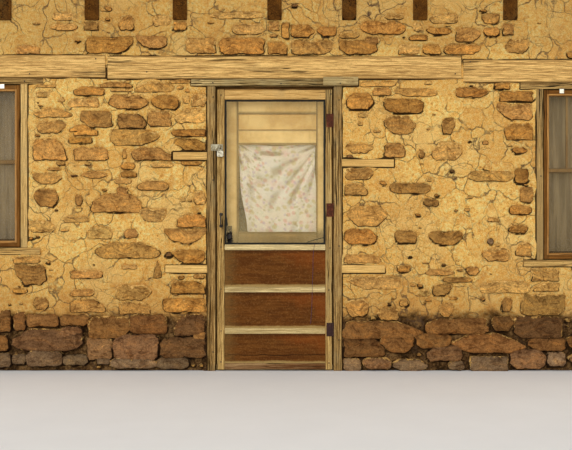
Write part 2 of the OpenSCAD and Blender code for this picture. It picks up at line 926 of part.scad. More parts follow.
// A panel w wide and h high with a bevelled field raised on both faces, centred on x and y
module raised_panel(w, h) {
  edge = front_panel_t / 2 - bevel_d;
  full = front_panel_t / 2;
  profile = function (size) [
    [-size / 2, -edge],
    [bevel_w - size / 2, -full],
    [size / 2 - bevel_w, -full],
    [size / 2, -edge],
    [size / 2, edge],
    [size / 2 - bevel_w, full],
    [bevel_w - size / 2, full],
    [-size / 2, edge]
  ];
  intersection() {
    linear_extrude(h) polygon(profile(w));
    translate([-w / 2, 0, h / 2]) rotate([90, 0, 90]) linear_extrude(w)
      polygon([for (p = profile(h)) [p[1], p[0]]]);
  }
}

module front_door_panels() {
  middle_x = (front_left + front_right) / 2;
  middle_y = front_face_y + front_t / 2;
  low = FRONT_RAILS[0][0] + FRONT_RAILS[0][1];
  color("khaki") {
    translate([middle_x, middle_y, low]) raised_panel(front_right - front_left, FRONT_RAILS[1][0] - low);
    translate([middle_x, middle_y, cross_top_z])
      raised_panel(front_right - front_left, upper_panel_h);
  }
}

module front_door_glass() {
  color("lightblue", 0.4) between_front_stiles(glass_bottom_z, glass_top_z, glass_t);
}

// Curtain nailed behind the glass of the front door
module front_door_curtain() {
  color("mistyrose")
    translate([front_left - curtain_lap, front_back_y + seat_gap, glass_bottom_z - curtain_drop])
      cube([
        front_right - front_left + 2 * curtain_lap,
        curtain_t,
        glass_top_z - glass_bottom_z + curtain_drop + curtain_lap
      ]);
}

// A knob with its lock plate, along z from the door's face
module knob() {
  translate([-lock_plate_w / 2, -lock_plate_h / 2, 0]) cube([lock_plate_w, lock_plate_h, lock_plate_t]);
  cylinder(r = knob_neck_r, h = knob_out - knob_r);
  intersection() {
    translate([0, 0, knob_out + knob_flat - knob_r]) sphere(knob_r);
    cylinder(r = knob_r + past, h = knob_out);
  }
}

module front_door_knobs() {
  knob_x = knob_inset - front_x;
  color("black") {
    translate([knob_x, front_face_y, knob_z]) rotate([90, 0, 0]) knob();
    translate([knob_x, front_back_y, knob_z]) rotate([-90, 0, 0]) knob();
  }
}

// Runs its children once for each window, x across it and y into the wall. Its children read the
// window's sill and head heights from $sill and $head
module at_windows() {
  for (w = WINDOWS) {
    $sill = w[2];
    $head = w[3];
    $meet = (w[2] + w[3]) / 2 + meeting_rise;
    on_wall(w[0], w[1]) children();
  }
}

module window_jambs() {
  color("darkorange") at_windows() for (side = [-1, 1])
    translate([side * (window_w - casing_w) / 2, 0, $sill]) beam(casing_w, frame_depth, $head - $sill);
}

module window_heads() {
  color("darkkhaki") at_windows() translate([0, 0, $head])
    beam(window_w + 2 * window_head_horn, frame_depth, window_head_h);
}

module window_sills() {
  length = window_w + 2 * window_sill_horn;
  color("darkkhaki") at_windows() translate([-length / 2, 0, $sill]) rotate([90, 0, 90])
    linear_extrude(length) polygon([
      [-sill_proud, -window_sill_h],
      [frame_depth, -window_sill_h],
      [frame_depth, 0],
      [screen_set, 0],
      [-sill_proud, -sill_wash]
    ]);
}

// A window screen's frame stands on the sill, between the jambs
module window_screens() {
  color("darkorange") at_windows() translate([0, screen_set, $sill]) difference() {
    beam(screen_w, screen_t, $head - $sill - sash_gap);
    translate([0, -past, screen_rail_h])
      beam(screen_w - 2 * screen_stile_w, screen_t + 2 * past, $head - $sill - sash_gap - 2 * screen_rail_h);
  }
}

module window_screen_wire() {
  color("silver") at_windows() translate([0, screen_set + (screen_t - wire_t) / 2, $sill + screen_rail_h])
    beam(screen_w - 2 * screen_stile_w, wire_t, $head - $sill - sash_gap - 2 * screen_rail_h);
}

// Frame of a sash, z high, with rails of the two given heights
module sash(z, low_rail, high_rail) {
  difference() {
    beam(screen_w, sash_t, z);
    translate([0, -past, low_rail])
      beam(screen_w - 2 * sash_stile_w, sash_t + 2 * past, z - low_rail - high_rail);
  }
}

module upper_sashes() {
  glass_w = screen_w - 2 * sash_stile_w;
  light = glass_w / (glazing_bars + 1);
  color("khaki") at_windows() {
    low = $meet - meeting_h / 2;
    high = $head - sash_gap;
    translate([0, upper_sash_y, low]) {
      sash(high - low, meeting_h, sash_top_h);
      for (i = [1:glazing_bars]) translate([i * light - glass_w / 2, 0, meeting_h])
        beam(bar_w, bar_depth, high - low - meeting_h - sash_top_h);
    }
  }
}

module lower_sashes() {
  color("khaki") at_windows() translate([0, lower_sash_y, $sill])
    sash($meet + meeting_h / 2 - $sill, sash_bottom_h, meeting_h);
}

// Glass of both sashes, behind the glazing bars
module window_panes() {
  pane_w = screen_w - 2 * sash_stile_w;
  color("lightblue", 0.4) at_windows() {
    translate([0, upper_sash_y + bar_depth, $meet + meeting_h / 2])
      beam(pane_w, glass_t, $head - sash_gap - sash_top_h - $meet - meeting_h / 2);
    translate([0, lower_sash_y + bar_depth, $sill + sash_bottom_h])
      beam(pane_w, glass_t, $meet - meeting_h / 2 - $sill - sash_bottom_h);
  }
}

// Net curtains nailed behind the window frames
module net_curtains() {
  color("gainsboro") at_windows() translate([0, frame_depth + seat_gap, $sill + net_rise])
    beam(window_clear_w + 2 * net_lap, net_t, $head - $sill - net_rise + net_lap);
}

front_wall_left();
front_wall_right();
front_wall_top();
back_wall();
back_wall_top();
left_wall();
right_wall();
parapet();
roof_earth();
roof_boards();
roof_joists();
roof_drains();
earth_floor();
door_lintel();
window_lintels();
nailing_blocks();
door_jambs();
door_head();
door_head_patch();
door_stops();
door_sill();
jamb_hinge_leaves();
screen_door_stiles();
screen_door_rails();
screen_door_panels();
screen_door_wire();
screen_door_hinges();
screen_door_pull();
hasp();
padlock();
door_string();
front_door_stiles();
front_door_rails();
front_door_panels();
front_door_glass();
front_door_curtain();
front_door_hinges();
front_door_knobs();
window_jambs();
window_heads();
window_sills();
window_screens();
window_screen_wire();
upper_sashes();
lower_sashes();
window_panes();
net_curtains();
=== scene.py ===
import itertools
import math

import bmesh
import bpy
import numpy as np
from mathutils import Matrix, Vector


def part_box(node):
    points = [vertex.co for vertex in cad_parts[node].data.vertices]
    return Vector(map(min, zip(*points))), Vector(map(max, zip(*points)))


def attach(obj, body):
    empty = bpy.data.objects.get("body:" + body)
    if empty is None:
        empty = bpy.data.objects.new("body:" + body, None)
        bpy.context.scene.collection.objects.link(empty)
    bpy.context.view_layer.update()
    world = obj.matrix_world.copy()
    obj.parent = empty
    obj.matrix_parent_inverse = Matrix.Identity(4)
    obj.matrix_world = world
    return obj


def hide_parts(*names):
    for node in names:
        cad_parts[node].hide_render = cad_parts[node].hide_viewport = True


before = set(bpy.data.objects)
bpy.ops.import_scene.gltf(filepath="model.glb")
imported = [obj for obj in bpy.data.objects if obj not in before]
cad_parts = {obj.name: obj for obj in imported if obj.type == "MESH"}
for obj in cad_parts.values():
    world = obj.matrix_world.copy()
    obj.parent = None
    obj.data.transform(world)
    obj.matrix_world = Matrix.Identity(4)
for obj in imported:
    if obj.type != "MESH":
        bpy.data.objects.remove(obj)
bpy.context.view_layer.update()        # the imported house: its bodies, nodes, joints and record


# The view: square to the door, a little right of its middle, with 4.04 m of the front wall across
# the picture. A pixel of the photograph is PIXEL metres on the wall's face, pixel column DOOR_PIXEL
# is the middle of the doorway and pixel row GROUND_PIXEL is the ground.
PIXEL = 0.00707
PHOTO_SIZE = (572, 450)
DOOR_PIXEL = 274.5
GROUND_PIXEL = 371
VIEW_DISTANCE = 5.8
FILM_WIDTH = 36

front_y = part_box("front_wall_left")[0].y
side_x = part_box("front_wall_right")[1].x


def photo_place(px, py):
    """Where a pixel of the photograph lies on the front wall: its x and z in metres."""
    return (px - DOOR_PIXEL) * PIXEL, (GROUND_PIXEL - py) * PIXEL


camera = bpy.data.objects.new("camera", bpy.data.cameras.new("camera"))
bpy.context.scene.collection.objects.link(camera)
bpy.context.scene.camera = camera
camera.data.sensor_width = FILM_WIDTH
camera.data.lens = FILM_WIDTH * VIEW_DISTANCE / (PHOTO_SIZE[0] * PIXEL)
view_x, view_z = photo_place(PHOTO_SIZE[0] / 2, PHOTO_SIZE[1] / 2)
camera.location = (view_x, front_y - VIEW_DISTANCE, view_z)
camera.rotation_euler = (math.radians(90), 0, 0)


# String: a thin dark string caught in the screen door's wire cloth. It comes out over the lock rail
# and hangs down the panels to its loose end. It is two plies, twisted.
STRING_D = 0.0025
STRING_ROUTE = [
    (284, -2387, 897), (284, -2393, 897), (284, -2398, 897), (283, -2401.5, 895.5),
    (282, -2403, 892), (281, -2403, 882), (278, -2403, 866), (275, -2403, 845),
    (273, -2403, 815), (272, -2402, 775), (272, -2402, 730), (270, -2402, 680),
    (268, -2402, 630), (267, -2403, 585), (266, -2403, 545), (265, -2402, 500),
    (263, -2402, 450), (260, -2402, 400), (257, -2402, 360), (255, -2402, 334),
]


class Value:
    """One output of a material's nodes. Sums and products of values add Math nodes."""

    def __init__(self, tree, socket=None):
        self.tree = tree
        self.socket = socket

    def node(self, kind, settings, values, out=0):
        """Adds a node: its type, its settings, the values of its sockets, and which output to use."""
        node = self.tree.nodes.new("ShaderNode" + kind)
        for name, setting in settings.items():
            if name == "stops":
                while len(node.color_ramp.elements) < len(setting):
                    node.color_ramp.elements.new(0.5)
                for element, (place, colour) in zip(node.color_ramp.elements, setting):
                    element.position = place
                    element.color = (*colour, 1)
            else:
                setattr(node, name, setting)
        for key, value in values.items():
            plug(self.tree, node.inputs[key], value)
        return Value(self.tree, node.outputs[out])

    def math(self, operation, *others, **settings):
        values = dict(enumerate((self, *others)))
        return self.node("Math", {"operation": operation, **settings}, values)

    def __add__(self, other):
        return self.math("ADD", other)

    def __sub__(self, other):
        return self.math("SUBTRACT", other)

    def __rsub__(self, other):
        return self.node("Math", {"operation": "SUBTRACT"}, {0: other, 1: self})

    def __mul__(self, other):
        return self.math("MULTIPLY", other)

    __radd__ = __add__
    __rmul__ = __mul__

    def clamped(self):
        return self.math("ADD", 0, use_clamp=True)

    def vector(self, operation, other):
        return self.node("VectorMath", {"operation": operation}, {0: self, 1: other})

    def stretch(self, scale, shift=(0, 0, 0)):
        return self.vector("MULTIPLY", scale).vector("ADD", shift)

    def warp(self, by, amount):
        """Moves a place about by a noise colour, for wavy edges."""
        push = by.vector("SUBTRACT", (0.5,) * 3).vector("MULTIPLY", (amount,) * 3)
        return self.vector("ADD", push)

    def noise(self, scale, detail=4, rough=0.55, out=0):
        values = {"Vector": self, "Scale": scale, "Detail": detail, "Roughness": rough}
        return self.node("TexNoise", {}, values, out)

    def cells(self, scale, feature="F1", out=0):
        """How far a place is from the middle or the edge of its cell, or each cell's own colour."""
        return self.node("TexVoronoi", {"feature": feature}, {"Vector": self, "Scale": scale}, out)

    def between(self, low, high, start=0, end=1):
        """Start below low, end above high and a smooth step between them."""
        values = {0: self, 1: low, 2: high, 3: start, 4: end}
        return self.node("MapRange", {"interpolation_type": "SMOOTHSTEP"}, values)

    def below(self, low, high):
        """1 below low, 0 above high and a smooth step between them."""
        return self.between(low, high, 1, 0)

    def ramp(self, *stops):
        return self.node("ValToRGB", {"stops": stops}, {0: self})

    def parts(self):
        return [self.node("SeparateXYZ", {}, {0: self}, axis) for axis in range(3)]


def plug(tree, socket, value):
    """Sets a socket to a number or a colour, or links a value to it."""
    if isinstance(value, Value):
        tree.links.new(value.socket, socket)
    elif isinstance(value, tuple) and len(value) == 3 and socket.type == "RGBA":
        socket.default_value = (*value, 1)
    else:
        socket.default_value = value


class Finish:
    """A material that is built up node by node: a first colour, and others laid over it."""

    def __init__(self, name, colour=None, rough=0.5, gloss=0.5, **sockets):
        self.material = bpy.data.materials.new(name)
        self.material.use_nodes = True
        self.nodes = Value(self.material.node_tree)
        self.colour = colour
        self.shade(Roughness=rough, Specular_IOR_Level=gloss, **sockets)

    def shade(self, **sockets):
        """Sets sockets of the main shader. Base_Color stands for Base Color."""
        tree = self.material.node_tree
        for name, value in sockets.items():
            plug(tree, tree.nodes["Principled BSDF"].inputs[name.replace("_", " ")], value)

    def attribute(self, name, out="Vector"):
        return self.nodes.node("Attribute", {"attribute_name": name}, {}, out)

    def local(self):
        """The place on the piece itself, which moves with it."""
        return self.nodes.node("TexCoord", {}, {}, "Object")

    def cover(self, share, tone, blend="MIX"):
        """Lays a share, from 0 to 1, of a tone over the colour so far."""
        settings = {"data_type": "RGBA", "blend_type": blend}
        self.colour = self.nodes.node("Mix", settings, {0: share, 6: self.colour, 7: tone}, 2)
        self.shade(Base_Color=self.colour)

    def stain(self, value, start, full, share, tone, blend="MIX"):
        """Covers with none of a tone where a value is at start, and with a share of it at full."""
        part = value.between(start, full) if start < full else value.below(full, start)
        self.cover(part * share, tone, blend)

    def bump(self, height, depth):
        """Raises and lowers the surface by height, from 0 to 1, times depth in metres."""
        self.shade(Normal=self.nodes.node("Bump", {}, {"Height": height, "Distance": depth}))


def add_piece(name, points, faces, finish, body, slot, replaces=(), crease=40, **attributes):
    """Makes a mesh piece, dresses it, and lets it ride on a body."""
    mesh = bpy.data.meshes.new(name)
    mesh.from_pydata(np.asarray(points).tolist(), [], [list(map(int, face)) for face in faces])
    mesh.polygons.foreach_set("use_smooth", [True] * len(mesh.polygons))
    mesh.set_sharp_from_angle(angle=math.radians(crease))
    for key, values in attributes.items():
        values = np.asarray(values, dtype=np.float32)
        kind = "FLOAT" if values.ndim == 1 else "FLOAT_VECTOR"
        layer = mesh.attributes.new(key, kind, "POINT")
        layer.data.foreach_set("value" if kind == "FLOAT" else "vector", values.ravel())
    mesh.materials.append(finish.material)
    piece = bpy.data.objects.new(name, mesh)
    bpy.context.scene.collection.objects.link(piece)
    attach(piece, body)
    if replaces:
        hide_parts(*replaces)
    return piece


def smooth_route(route, steps):
    """Points on a smooth curve through all of a route's points."""
    route = np.asarray(route, dtype=float)
    before = np.vstack([route[:1], route[:-2]])
    after = np.vstack([route[2:], route[-1:]])
    points = []
    for a, b, c, d in zip(before, route[:-1], route[1:], after):
        for t in np.arange(steps) / steps:
            bend = (2 * a - 5 * b + 4 * c - d) * t + (3 * b - a - 3 * c + d) * t * t
            points.append(b + 0.5 * t * (c - a + bend))
    return np.vstack([points, route[-1:]])


def twisted_rod(path, radius, sides, twist, plies):
    """A rod of twisted plies along a path that never runs along x."""
    path = np.asarray(path)
    ways = np.gradient(path, axis=0)
    ways /= np.linalg.norm(ways, axis=1)[:, None]
    across = np.array([1.0, 0, 0]) - ways[:, :1] * ways
    across /= np.linalg.norm(across, axis=1)[:, None]
    other = np.cross(ways, across)
    turns = np.arange(sides) * 2 * math.pi / sides
    points, faces = [], []
    for i, centre in enumerate(path):
        size = radius * (1 - 0.15 * np.abs(np.sin(plies * (turns - twist * i) / 2)))
        ring = np.outer(size * np.cos(turns), across[i])
        points.append(centre + ring + np.outer(size * np.sin(turns), other[i]))
    for i in range(len(path) - 1):
        for k in range(sides):
            a, b = i * sides + k, i * sides + (k + 1) % sides
            faces.append((b, a, a + sides, b + sides))
    faces.append(range(sides))
    faces.append(range(len(path) * sides - 1, (len(path) - 1) * sides - 1, -1))
    return np.vstack(points), faces


string_finish = Finish("string", (0.035, 0.02, 0.045), rough=0.9, gloss=0.2)
fuzz = string_finish.local().noise(900, 3)
string_finish.cover(fuzz, (0.12, 0.07, 0.13))
string_finish.bump(fuzz, 0.0003)
string_path = smooth_route(STRING_ROUTE, 4) / 1000
string_points, string_faces = twisted_rod(string_path, STRING_D / 2, 8, 0.7, 2)
door_string = add_piece("door_string_line", string_points, string_faces, string_finish,
                        "screen_door", "string", ["door_string"], crease=70)


# Studio: a plain pale floor, a white surround and soft even light, so that each colour shows about as
# it is written.
FLOOR_SIZE = 60
SURROUND = 0.5
LIGHT_SPREAD = 40
# Each light: its strength and the way it is turned, in degrees
SOFT_LIGHTS = {
    "front": (1.35, (74, 0, -14)), "top": (0.45, (30, 0, -25)), "back": (1.1, (68, 0, 165)),
    "left": (0.8, (68, 0, -100)), "right": (0.8, (68, 0, 100)),
}

floor = bpy.data.objects.new("floor", bpy.data.meshes.new("floor"))
reach = FLOOR_SIZE / 2
floor_corners = [(-reach, -reach, 0), (reach, -reach, 0), (reach, reach, 0), (-reach, reach, 0)]
floor.data.from_pydata(floor_corners, [], [range(4)])
bpy.context.scene.collection.objects.link(floor)
floor_finish = Finish("floor", (0.74, 0.73, 0.71), rough=0.85, gloss=0.15)
floor_finish.cover(floor_finish.local().noise(3, 6), (0.8, 0.79, 0.77))
floor.data.materials.append(floor_finish.material)

world = bpy.data.worlds.new("studio")
bpy.context.scene.world = world
world.use_nodes = True
background = world.node_tree.nodes["Background"]
background.inputs["Color"].default_value = (1, 1, 1, 1)
surround = Value(world.node_tree)
seen = surround.node("LightPath", {}, {}, "Is Camera Ray")
for ray in ("Is Glossy Ray", "Is Transmission Ray"):
    seen = seen.math("MAXIMUM", surround.node("LightPath", {}, {}, ray))
plug(world.node_tree, background.inputs["Strength"], seen * (1 - SURROUND) + SURROUND)

for name, (strength, turn) in SOFT_LIGHTS.items():
    lamp = bpy.data.objects.new(name + "_light", bpy.data.lights.new(name + "_light", "SUN"))
    lamp.data.energy = strength
    lamp.data.angle = math.radians(LIGHT_SPREAD)
    lamp.rotation_euler = [math.radians(angle) for angle in turn]
    bpy.context.scene.collection.objects.link(lamp)
bpy.context.scene.view_settings.view_transform = "Standard"


# Masonry: rubble sandstone laid in adobe mud, and plastered with the same mud, which has partly worn
# away. It stands round the frames, lintels, nailing blocks and joists that are built into it.
ROOM_WALL_T = 0.45
PARAPET_T = 0.4
PARAPET_ROUND = 0.11
CORNER_ROUND = 0.03
FRAME_DEPTH = 0.14
DOORWAY_HALF = 0.477
WINDOW_W = 0.742
HEAD_H = 0.045
SILL_H = 0.045
HEAD_HORN = 0.113
SILL_HORN = 0.092
LINTEL_H = 0.16
# The mud's mesh: its pitch, and between which places the front wall's is finer, and how many times
COARSE = 0.04
FINE_X = (-2.0, 2.1)
FINE_PARTS = 3
# The gap that has opened round the timbers: how wide and how deep it is
GAP_W = 0.011
GAP_DEPTH = 0.006
# How much of its unevenness the mud keeps where it meets a timber
HELD = 0.35
# Each window: the way its wall turns, its place along that wall, its sill's top and its head's foot
WINDOWS = [
    (0, -2.118, 0.872, 2.029), (0, 2.223, 0.785, 1.995), (90, 0, 0.83, 2.015), (-90, 0, 0.83, 2.015),
    (180, -1.75, 0.83, 2.015), (180, 1.75, 0.83, 2.015),
]

back_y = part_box("back_wall")[1].y
deck_low, deck_high = (np.array(corner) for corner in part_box("roof_boards"))
top_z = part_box("parapet")[1].z


def solid_boxes(node):
    """A low and a high corner for each separate solid of a CAD node."""
    mesh = bmesh.new()
    mesh.from_mesh(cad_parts[node].data)
    bmesh.ops.remove_doubles(mesh, verts=mesh.verts, dist=1e-5)
    mesh.verts.index_update()
    seen_verts = set()
    boxes = []
    for start in mesh.verts:
        if start.index in seen_verts:
            continue
        seen_verts.add(start.index)
        queue, places = [start], []
        while queue:
            vert = queue.pop()
            places.append(vert.co[:])
            for edge in vert.link_edges:
                other = edge.other_vert(vert)
                if other.index not in seen_verts:
                    seen_verts.add(other.index)
                    queue.append(other)
        boxes.append((np.min(places, axis=0), np.max(places, axis=0)))
    mesh.free()
    return boxes


def on_wall(points, turn):
    """Turns points on a wall, x along it and y into it from its outer face, to their place."""
    points = np.asarray(points, dtype=float)
    x, y, z = points[..., 0], points[..., 1], points[..., 2]
    places = {
        0: (x, front_y + y), 180: (-x, back_y - y), 90: (side_x - y, x), -90: (y - side_x, -x),
    }
    return np.stack([*places[turn], z], axis=-1)


def mottle(points, size, seed):
    """Smooth random heights from -1 to 1, in lumps of the given size in metres."""
    heights = np.random.default_rng(seed).uniform(-1, 1, (32, 32, 32))
    at = np.asarray(points) / size
    cell = np.floor(at).astype(int)
    part = at - cell
    part = part * part * (3 - 2 * part)
    total = np.zeros(len(at))
    for corner in itertools.product((0, 1), repeat=3):
        share = np.prod(np.where(corner, part, 1 - part), axis=1)
        spot = (cell + corner) % 32
        total += share * heights[spot[:, 0], spot[:, 1], spot[:, 2]]
    return total


def paint(red, green, blue):
    """The light value of a colour that is written from 0 to 255."""
    levels = (level / 255 for level in (red, green, blue))
    return tuple(v / 12.92 if v <= 0.04045 else ((v + 0.055) / 1.055) ** 2.4 for v in levels)


# Holes in the masonry, as boxes on a wall: the wall's turn, the low corner and the high corner
lintel_low, lintel_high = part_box("door_lintel")
head_low, head_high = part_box("door_head")
holes = [
    (0, (-DOORWAY_HALF, -1, -1), (DOORWAY_HALF, 1, lintel_high.z)),
    (0, (head_low.x, -1, head_low.z), (head_high.x, FRAME_DEPTH, head_high.z)),
    (0, (lintel_low.x, -1, lintel_low.z), (lintel_high.x, 1, lintel_high.z)),
]
holes += [(0, low - (0, front_y + 1, 0), high - (0, front_y, 0))
          for low, high in solid_boxes("nailing_blocks")]
lintel_ends = {}
for low, high in solid_boxes("window_lintels"):
    for turn, along, sill_z, head_z in WINDOWS:
        over_head = on_wall([(along, 0, head_z)], turn)[0] + (0, 0, 0.1)
        if np.all(low - 0.02 <= over_head) and np.all(over_head <= high + 0.02):
            ends = {0: (low[0], high[0]), 180: (-high[0], -low[0])}
            lintel_ends[turn, along] = ends.get(turn, (low[1], high[1]))
for turn, along, sill_z, head_z in WINDOWS:
    half = WINDOW_W / 2
    for reach, depth, foot, top in (
            (half, FRAME_DEPTH, sill_z - SILL_H, head_z + HEAD_H), (half, 1, sill_z, head_z + HEAD_H),
            (half + HEAD_HORN, FRAME_DEPTH, head_z, head_z + HEAD_H),
            (half + SILL_HORN, FRAME_DEPTH, sill_z - SILL_H, sill_z)):
        holes.append((turn, (along - reach, -1, foot), (along + reach, depth, top)))
    left, right = lintel_ends[turn, along]
    holes.append((turn, (left, -1, head_z + HEAD_H), (right, 1, head_z + HEAD_H + LINTEL_H)))
hole_boxes = []
for turn, low, high in holes:
    nearer, further = max(low[1], -0.5), min(high[1], ROOM_WALL_T + 0.01)
    ends = on_wall([(low[0], nearer, low[2]), (high[0], further, high[2])], turn)
    hole_boxes.append((ends.min(axis=0), ends.max(axis=0)))
hole_boxes += [(low - (0, 0.5, 0), high + (0, 0.5, 0)) for low, high in solid_boxes("roof_joists")]
hole_boxes += [(low, high + (0, 0.5, 0)) for low, high in solid_boxes("roof_drains")]
hole_boxes.append((deck_low, deck_high))


def spaced(marks, pitch):
    """Places at all of the marks, and about a pitch apart between them."""
    marks = np.unique(np.round(marks, 4))
    lines = [marks[:1]]
    for low, high in zip(marks, marks[1:]):
        steps = max(1, round((high - low) / pitch))
        lines.append(low + (high - low) * np.arange(1, steps + 1) / steps)
    return np.concatenate(lines)


# A lattice of cells through the walls, with planes at every edge. A cell is owned by a piece of mud,
# from 1 to 5: front, back, left, right and parapet; or by 0, nothing
house_low = np.array([-side_x, front_y, 0])
house_high = np.array([side_x, back_y, top_z])
lines = []
for axis in range(3):
    marks = [house_low[axis], house_high[axis], deck_low[2] if axis == 2 else 0]
    for inset in (ROOM_WALL_T, PARAPET_T) if axis < 2 else ():
        marks += [house_low[axis] + inset, house_high[axis] - inset]
    marks += [corner[axis] for box in hole_boxes for corner in box]
    marks = np.array(marks)
    lines.append(spaced(marks[(marks >= house_low[axis]) & (marks <= house_high[axis])], COARSE))

middles = [(line[1:] + line[:-1]) / 2 for line in lines]
mid_x, mid_y, mid_z = np.meshgrid(*middles, indexing="ij", sparse=True)
high_up = mid_z > deck_low[2]
thick = np.where(high_up, PARAPET_T, ROOM_WALL_T)
in_front = mid_y < house_low[1] + thick
in_back = mid_y > house_high[1] - thick
in_left = mid_x < house_low[0] + thick
in_right = mid_x > house_high[0] - thick
owner = np.where(in_front, 1, np.where(in_back, 2, np.where(in_left, 3, np.where(in_right, 4, 0))))
owner = np.where(high_up & (owner > 0), 5, owner)
for low, high in hole_boxes:
    cut = [(m > a) & (m < b) for m, a, b in zip(middles, low, high)]
    owner[np.ix_(*cut)] = 0


def skin(filled, mine):
    """Faces between my cells and empty ones, as lattice places, and the axis and side they face."""
    shell = np.pad(filled, 1)
    own = np.pad(mine, 1)
    quads, faced = [], []
    for axis, side in itertools.product(range(3), (0, 1)):
        bare = own & ~np.roll(shell, 1 - 2 * side, axis)
        cells = np.argwhere(bare) - 1
        second, third = (axis + 1) % 3, (axis + 2) % 3
        corners = np.repeat(cells[:, None, :], 4, axis=1)
        corners[:, :, axis] += side
        order = [(0, 0), (1, 0), (1, 1), (0, 1)]
        for k, (b, c) in enumerate(order if side else order[::-1]):
            corners[:, k, second] += b
            corners[:, k, third] += c
        quads.append(corners)
        faced += [(axis, side)] * len(cells)
    return np.concatenate(quads), np.array(faced)


cell_quads, cell_faced, cell_owner = [], [], []
for number in range(1, 6):
    quads, faced = skin(owner > 0, owner == number)
    cell_quads.append(quads)
    cell_faced.append(faced)
    cell_owner += [number] * len(quads)
cell_quads = np.concatenate(cell_quads)
cell_faced = np.concatenate(cell_faced)
cell_owner = np.array(cell_owner)
sizes = [len(line) for line in lines]
codes = (cell_quads[..., 0] * sizes[1] + cell_quads[..., 1]) * sizes[2] + cell_quads[..., 2]
lattice_codes, corner_ids = np.unique(codes, return_inverse=True)
corner_ids = corner_ids.reshape(-1, 4)
steps_x, steps_y, steps_z = np.unravel_index(lattice_codes, sizes)
square = np.stack([lines[0][steps_x], lines[1][steps_y], lines[2][steps_z]], axis=1)


def rounded(points):
    """Rounds the parapet's upper edges and the house's upright corners."""
    points = points.copy()
    gap = np.stack([side_x - np.abs(points[:, 0]), back_y - np.abs(points[:, 1])], axis=1)
    depth = gap.min(axis=1)
    nearest = gap < depth[:, None] + 1e-6
    up = points[:, 2] - (top_z - PARAPET_ROUND)
    for outer in (True, False):
        near = PARAPET_ROUND - (depth if outer else PARAPET_T - depth)
        zone = (up > 1e-6) & (near > 1e-6) & (near < PARAPET_ROUND + 1e-6)
        share = np.ones(len(points))
        share[zone] = np.maximum(up, near)[zone] / np.hypot(up, near)[zone]
        shift = near * (1 - share) * (1 if outer else -1)
        for axis in range(2):
            move = np.where(zone & nearest[:, axis], shift, 0)
            points[:, axis] -= np.sign(points[:, axis]) * move
        points[:, 2] = np.where(zone, top_z - PARAPET_ROUND + up * share, points[:, 2])
    near = CORNER_ROUND - gap
    zone = (near > 1e-6).all(axis=1)
    share = near[zone].max(axis=1) / np.hypot(*near[zone].T)
    points[zone, :2] -= np.sign(points[zone, :2]) * near[zone] * (1 - share[:, None])
    return points


# Weathered faces may move out and in; fixed ones lie against timbers and the roof
worn = rounded(square)
centres = square[corner_ids].mean(axis=1)
gaps = np.stack([side_x - np.abs(centres[:, 0]), back_y - np.abs(centres[:, 1])], axis=1).min(axis=1)
thickness = np.where(centres[:, 2] > deck_low[2], PARAPET_T, ROOM_WALL_T)
upright = cell_faced[:, 0] < 2
weathered = upright & ((gaps < 1e-4) | (gaps > thickness - 1e-4))
weathered |= ~upright & (centres[:, 2] > top_z - 1e-4)
fixed = ~weathered & (centres[:, 2] > 1e-4)

face_points = worn[corner_ids]
face_normals = np.cross(face_points[:, 2] - face_points[:, 0], face_points[:, 3] - face_points[:, 1])
outward = np.zeros_like(worn)
for k in range(4):
    np.add.at(outward, corner_ids[weathered, k], face_normals[weathered])
lengths = np.linalg.norm(outward, axis=1)
outward[lengths > 0] /= lengths[lengths > 0, None]
freedom = np.where(lengths > 0, 1.0, 0.0)
freedom[corner_ids[fixed]] = np.minimum(freedom[corner_ids[fixed]], HELD)

# The front face in the fine part: each lattice face there becomes a grid of smaller ones
fine = (cell_owner == 1) & (cell_faced[:, 0] == 1) & (centres[:, 1] < front_y + 1e-4)
fine &= (centres[:, 0] > FINE_X[0]) & (centres[:, 0] < FINE_X[1])
low_steps = cell_quads[fine].min(axis=1)
fine_ids, fine_points, fine_freedom = {}, [], []
corner_of = dict(zip(lattice_codes.tolist(), range(len(lattice_codes))))
fine_faces, chains = [], {}
parts = FINE_PARTS
for i, _, k in low_steps.tolist():
    grid = np.empty((parts + 1, parts + 1), dtype=int)
    ends = [[corner_of[((i + a) * sizes[1]) * sizes[2] + k + b] for b in (0, 1)] for a in (0, 1)]
    for a, b in itertools.product(range(parts + 1), repeat=2):
        if a % parts == 0 and b % parts == 0:
            grid[a, b] = ends[a // parts][b // parts]
            continue
        key = (i * parts + a, k * parts + b)
        if key not in fine_ids:
            fine_ids[key] = len(square) + len(fine_points)
            s, t = a / parts, b / parts
            shares = ((1 - s) * (1 - t), (1 - s) * t, s * (1 - t), s * t)
            four = (ends[0][0], ends[0][1], ends[1][0], ends[1][1])
            fine_points.append(sum(share * square[end] for share, end in zip(shares, four)))
            fine_freedom.append(sum(share * freedom[end] for share, end in zip(shares, four)))
        grid[a, b] = fine_ids[key]
    for a, b in itertools.product(range(parts), repeat=2):
        fine_faces.append((grid[a, b], grid[a + 1, b], grid[a + 1, b + 1], grid[a, b + 1]))
    for edge in (grid[0], grid[-1], grid[:, 0], grid[:, -1]):
        chains[edge[0], edge[-1]] = list(edge[1:-1])
        chains[edge[-1], edge[0]] = list(edge[-2:0:-1])

mud_faces = {number: [] for number in range(1, 6)}
mud_faces[1] += fine_faces
for number, face, is_fine in zip(cell_owner.tolist(), corner_ids.tolist(), fine.tolist()):
    if is_fine:
        continue
    ring = []
    for a, b in zip(face, face[1:] + face[:1]):
        ring.append(a)
        ring += chains.get((a, b), [])
    mud_faces[number].append(ring)
flat = np.vstack([square, fine_points])
mud = np.vstack([worn, fine_points])
outward = np.vstack([outward, np.tile((0, -1, 0), (len(fine_points), 1))])
freedom = np.concatenate([freedom, fine_freedom])
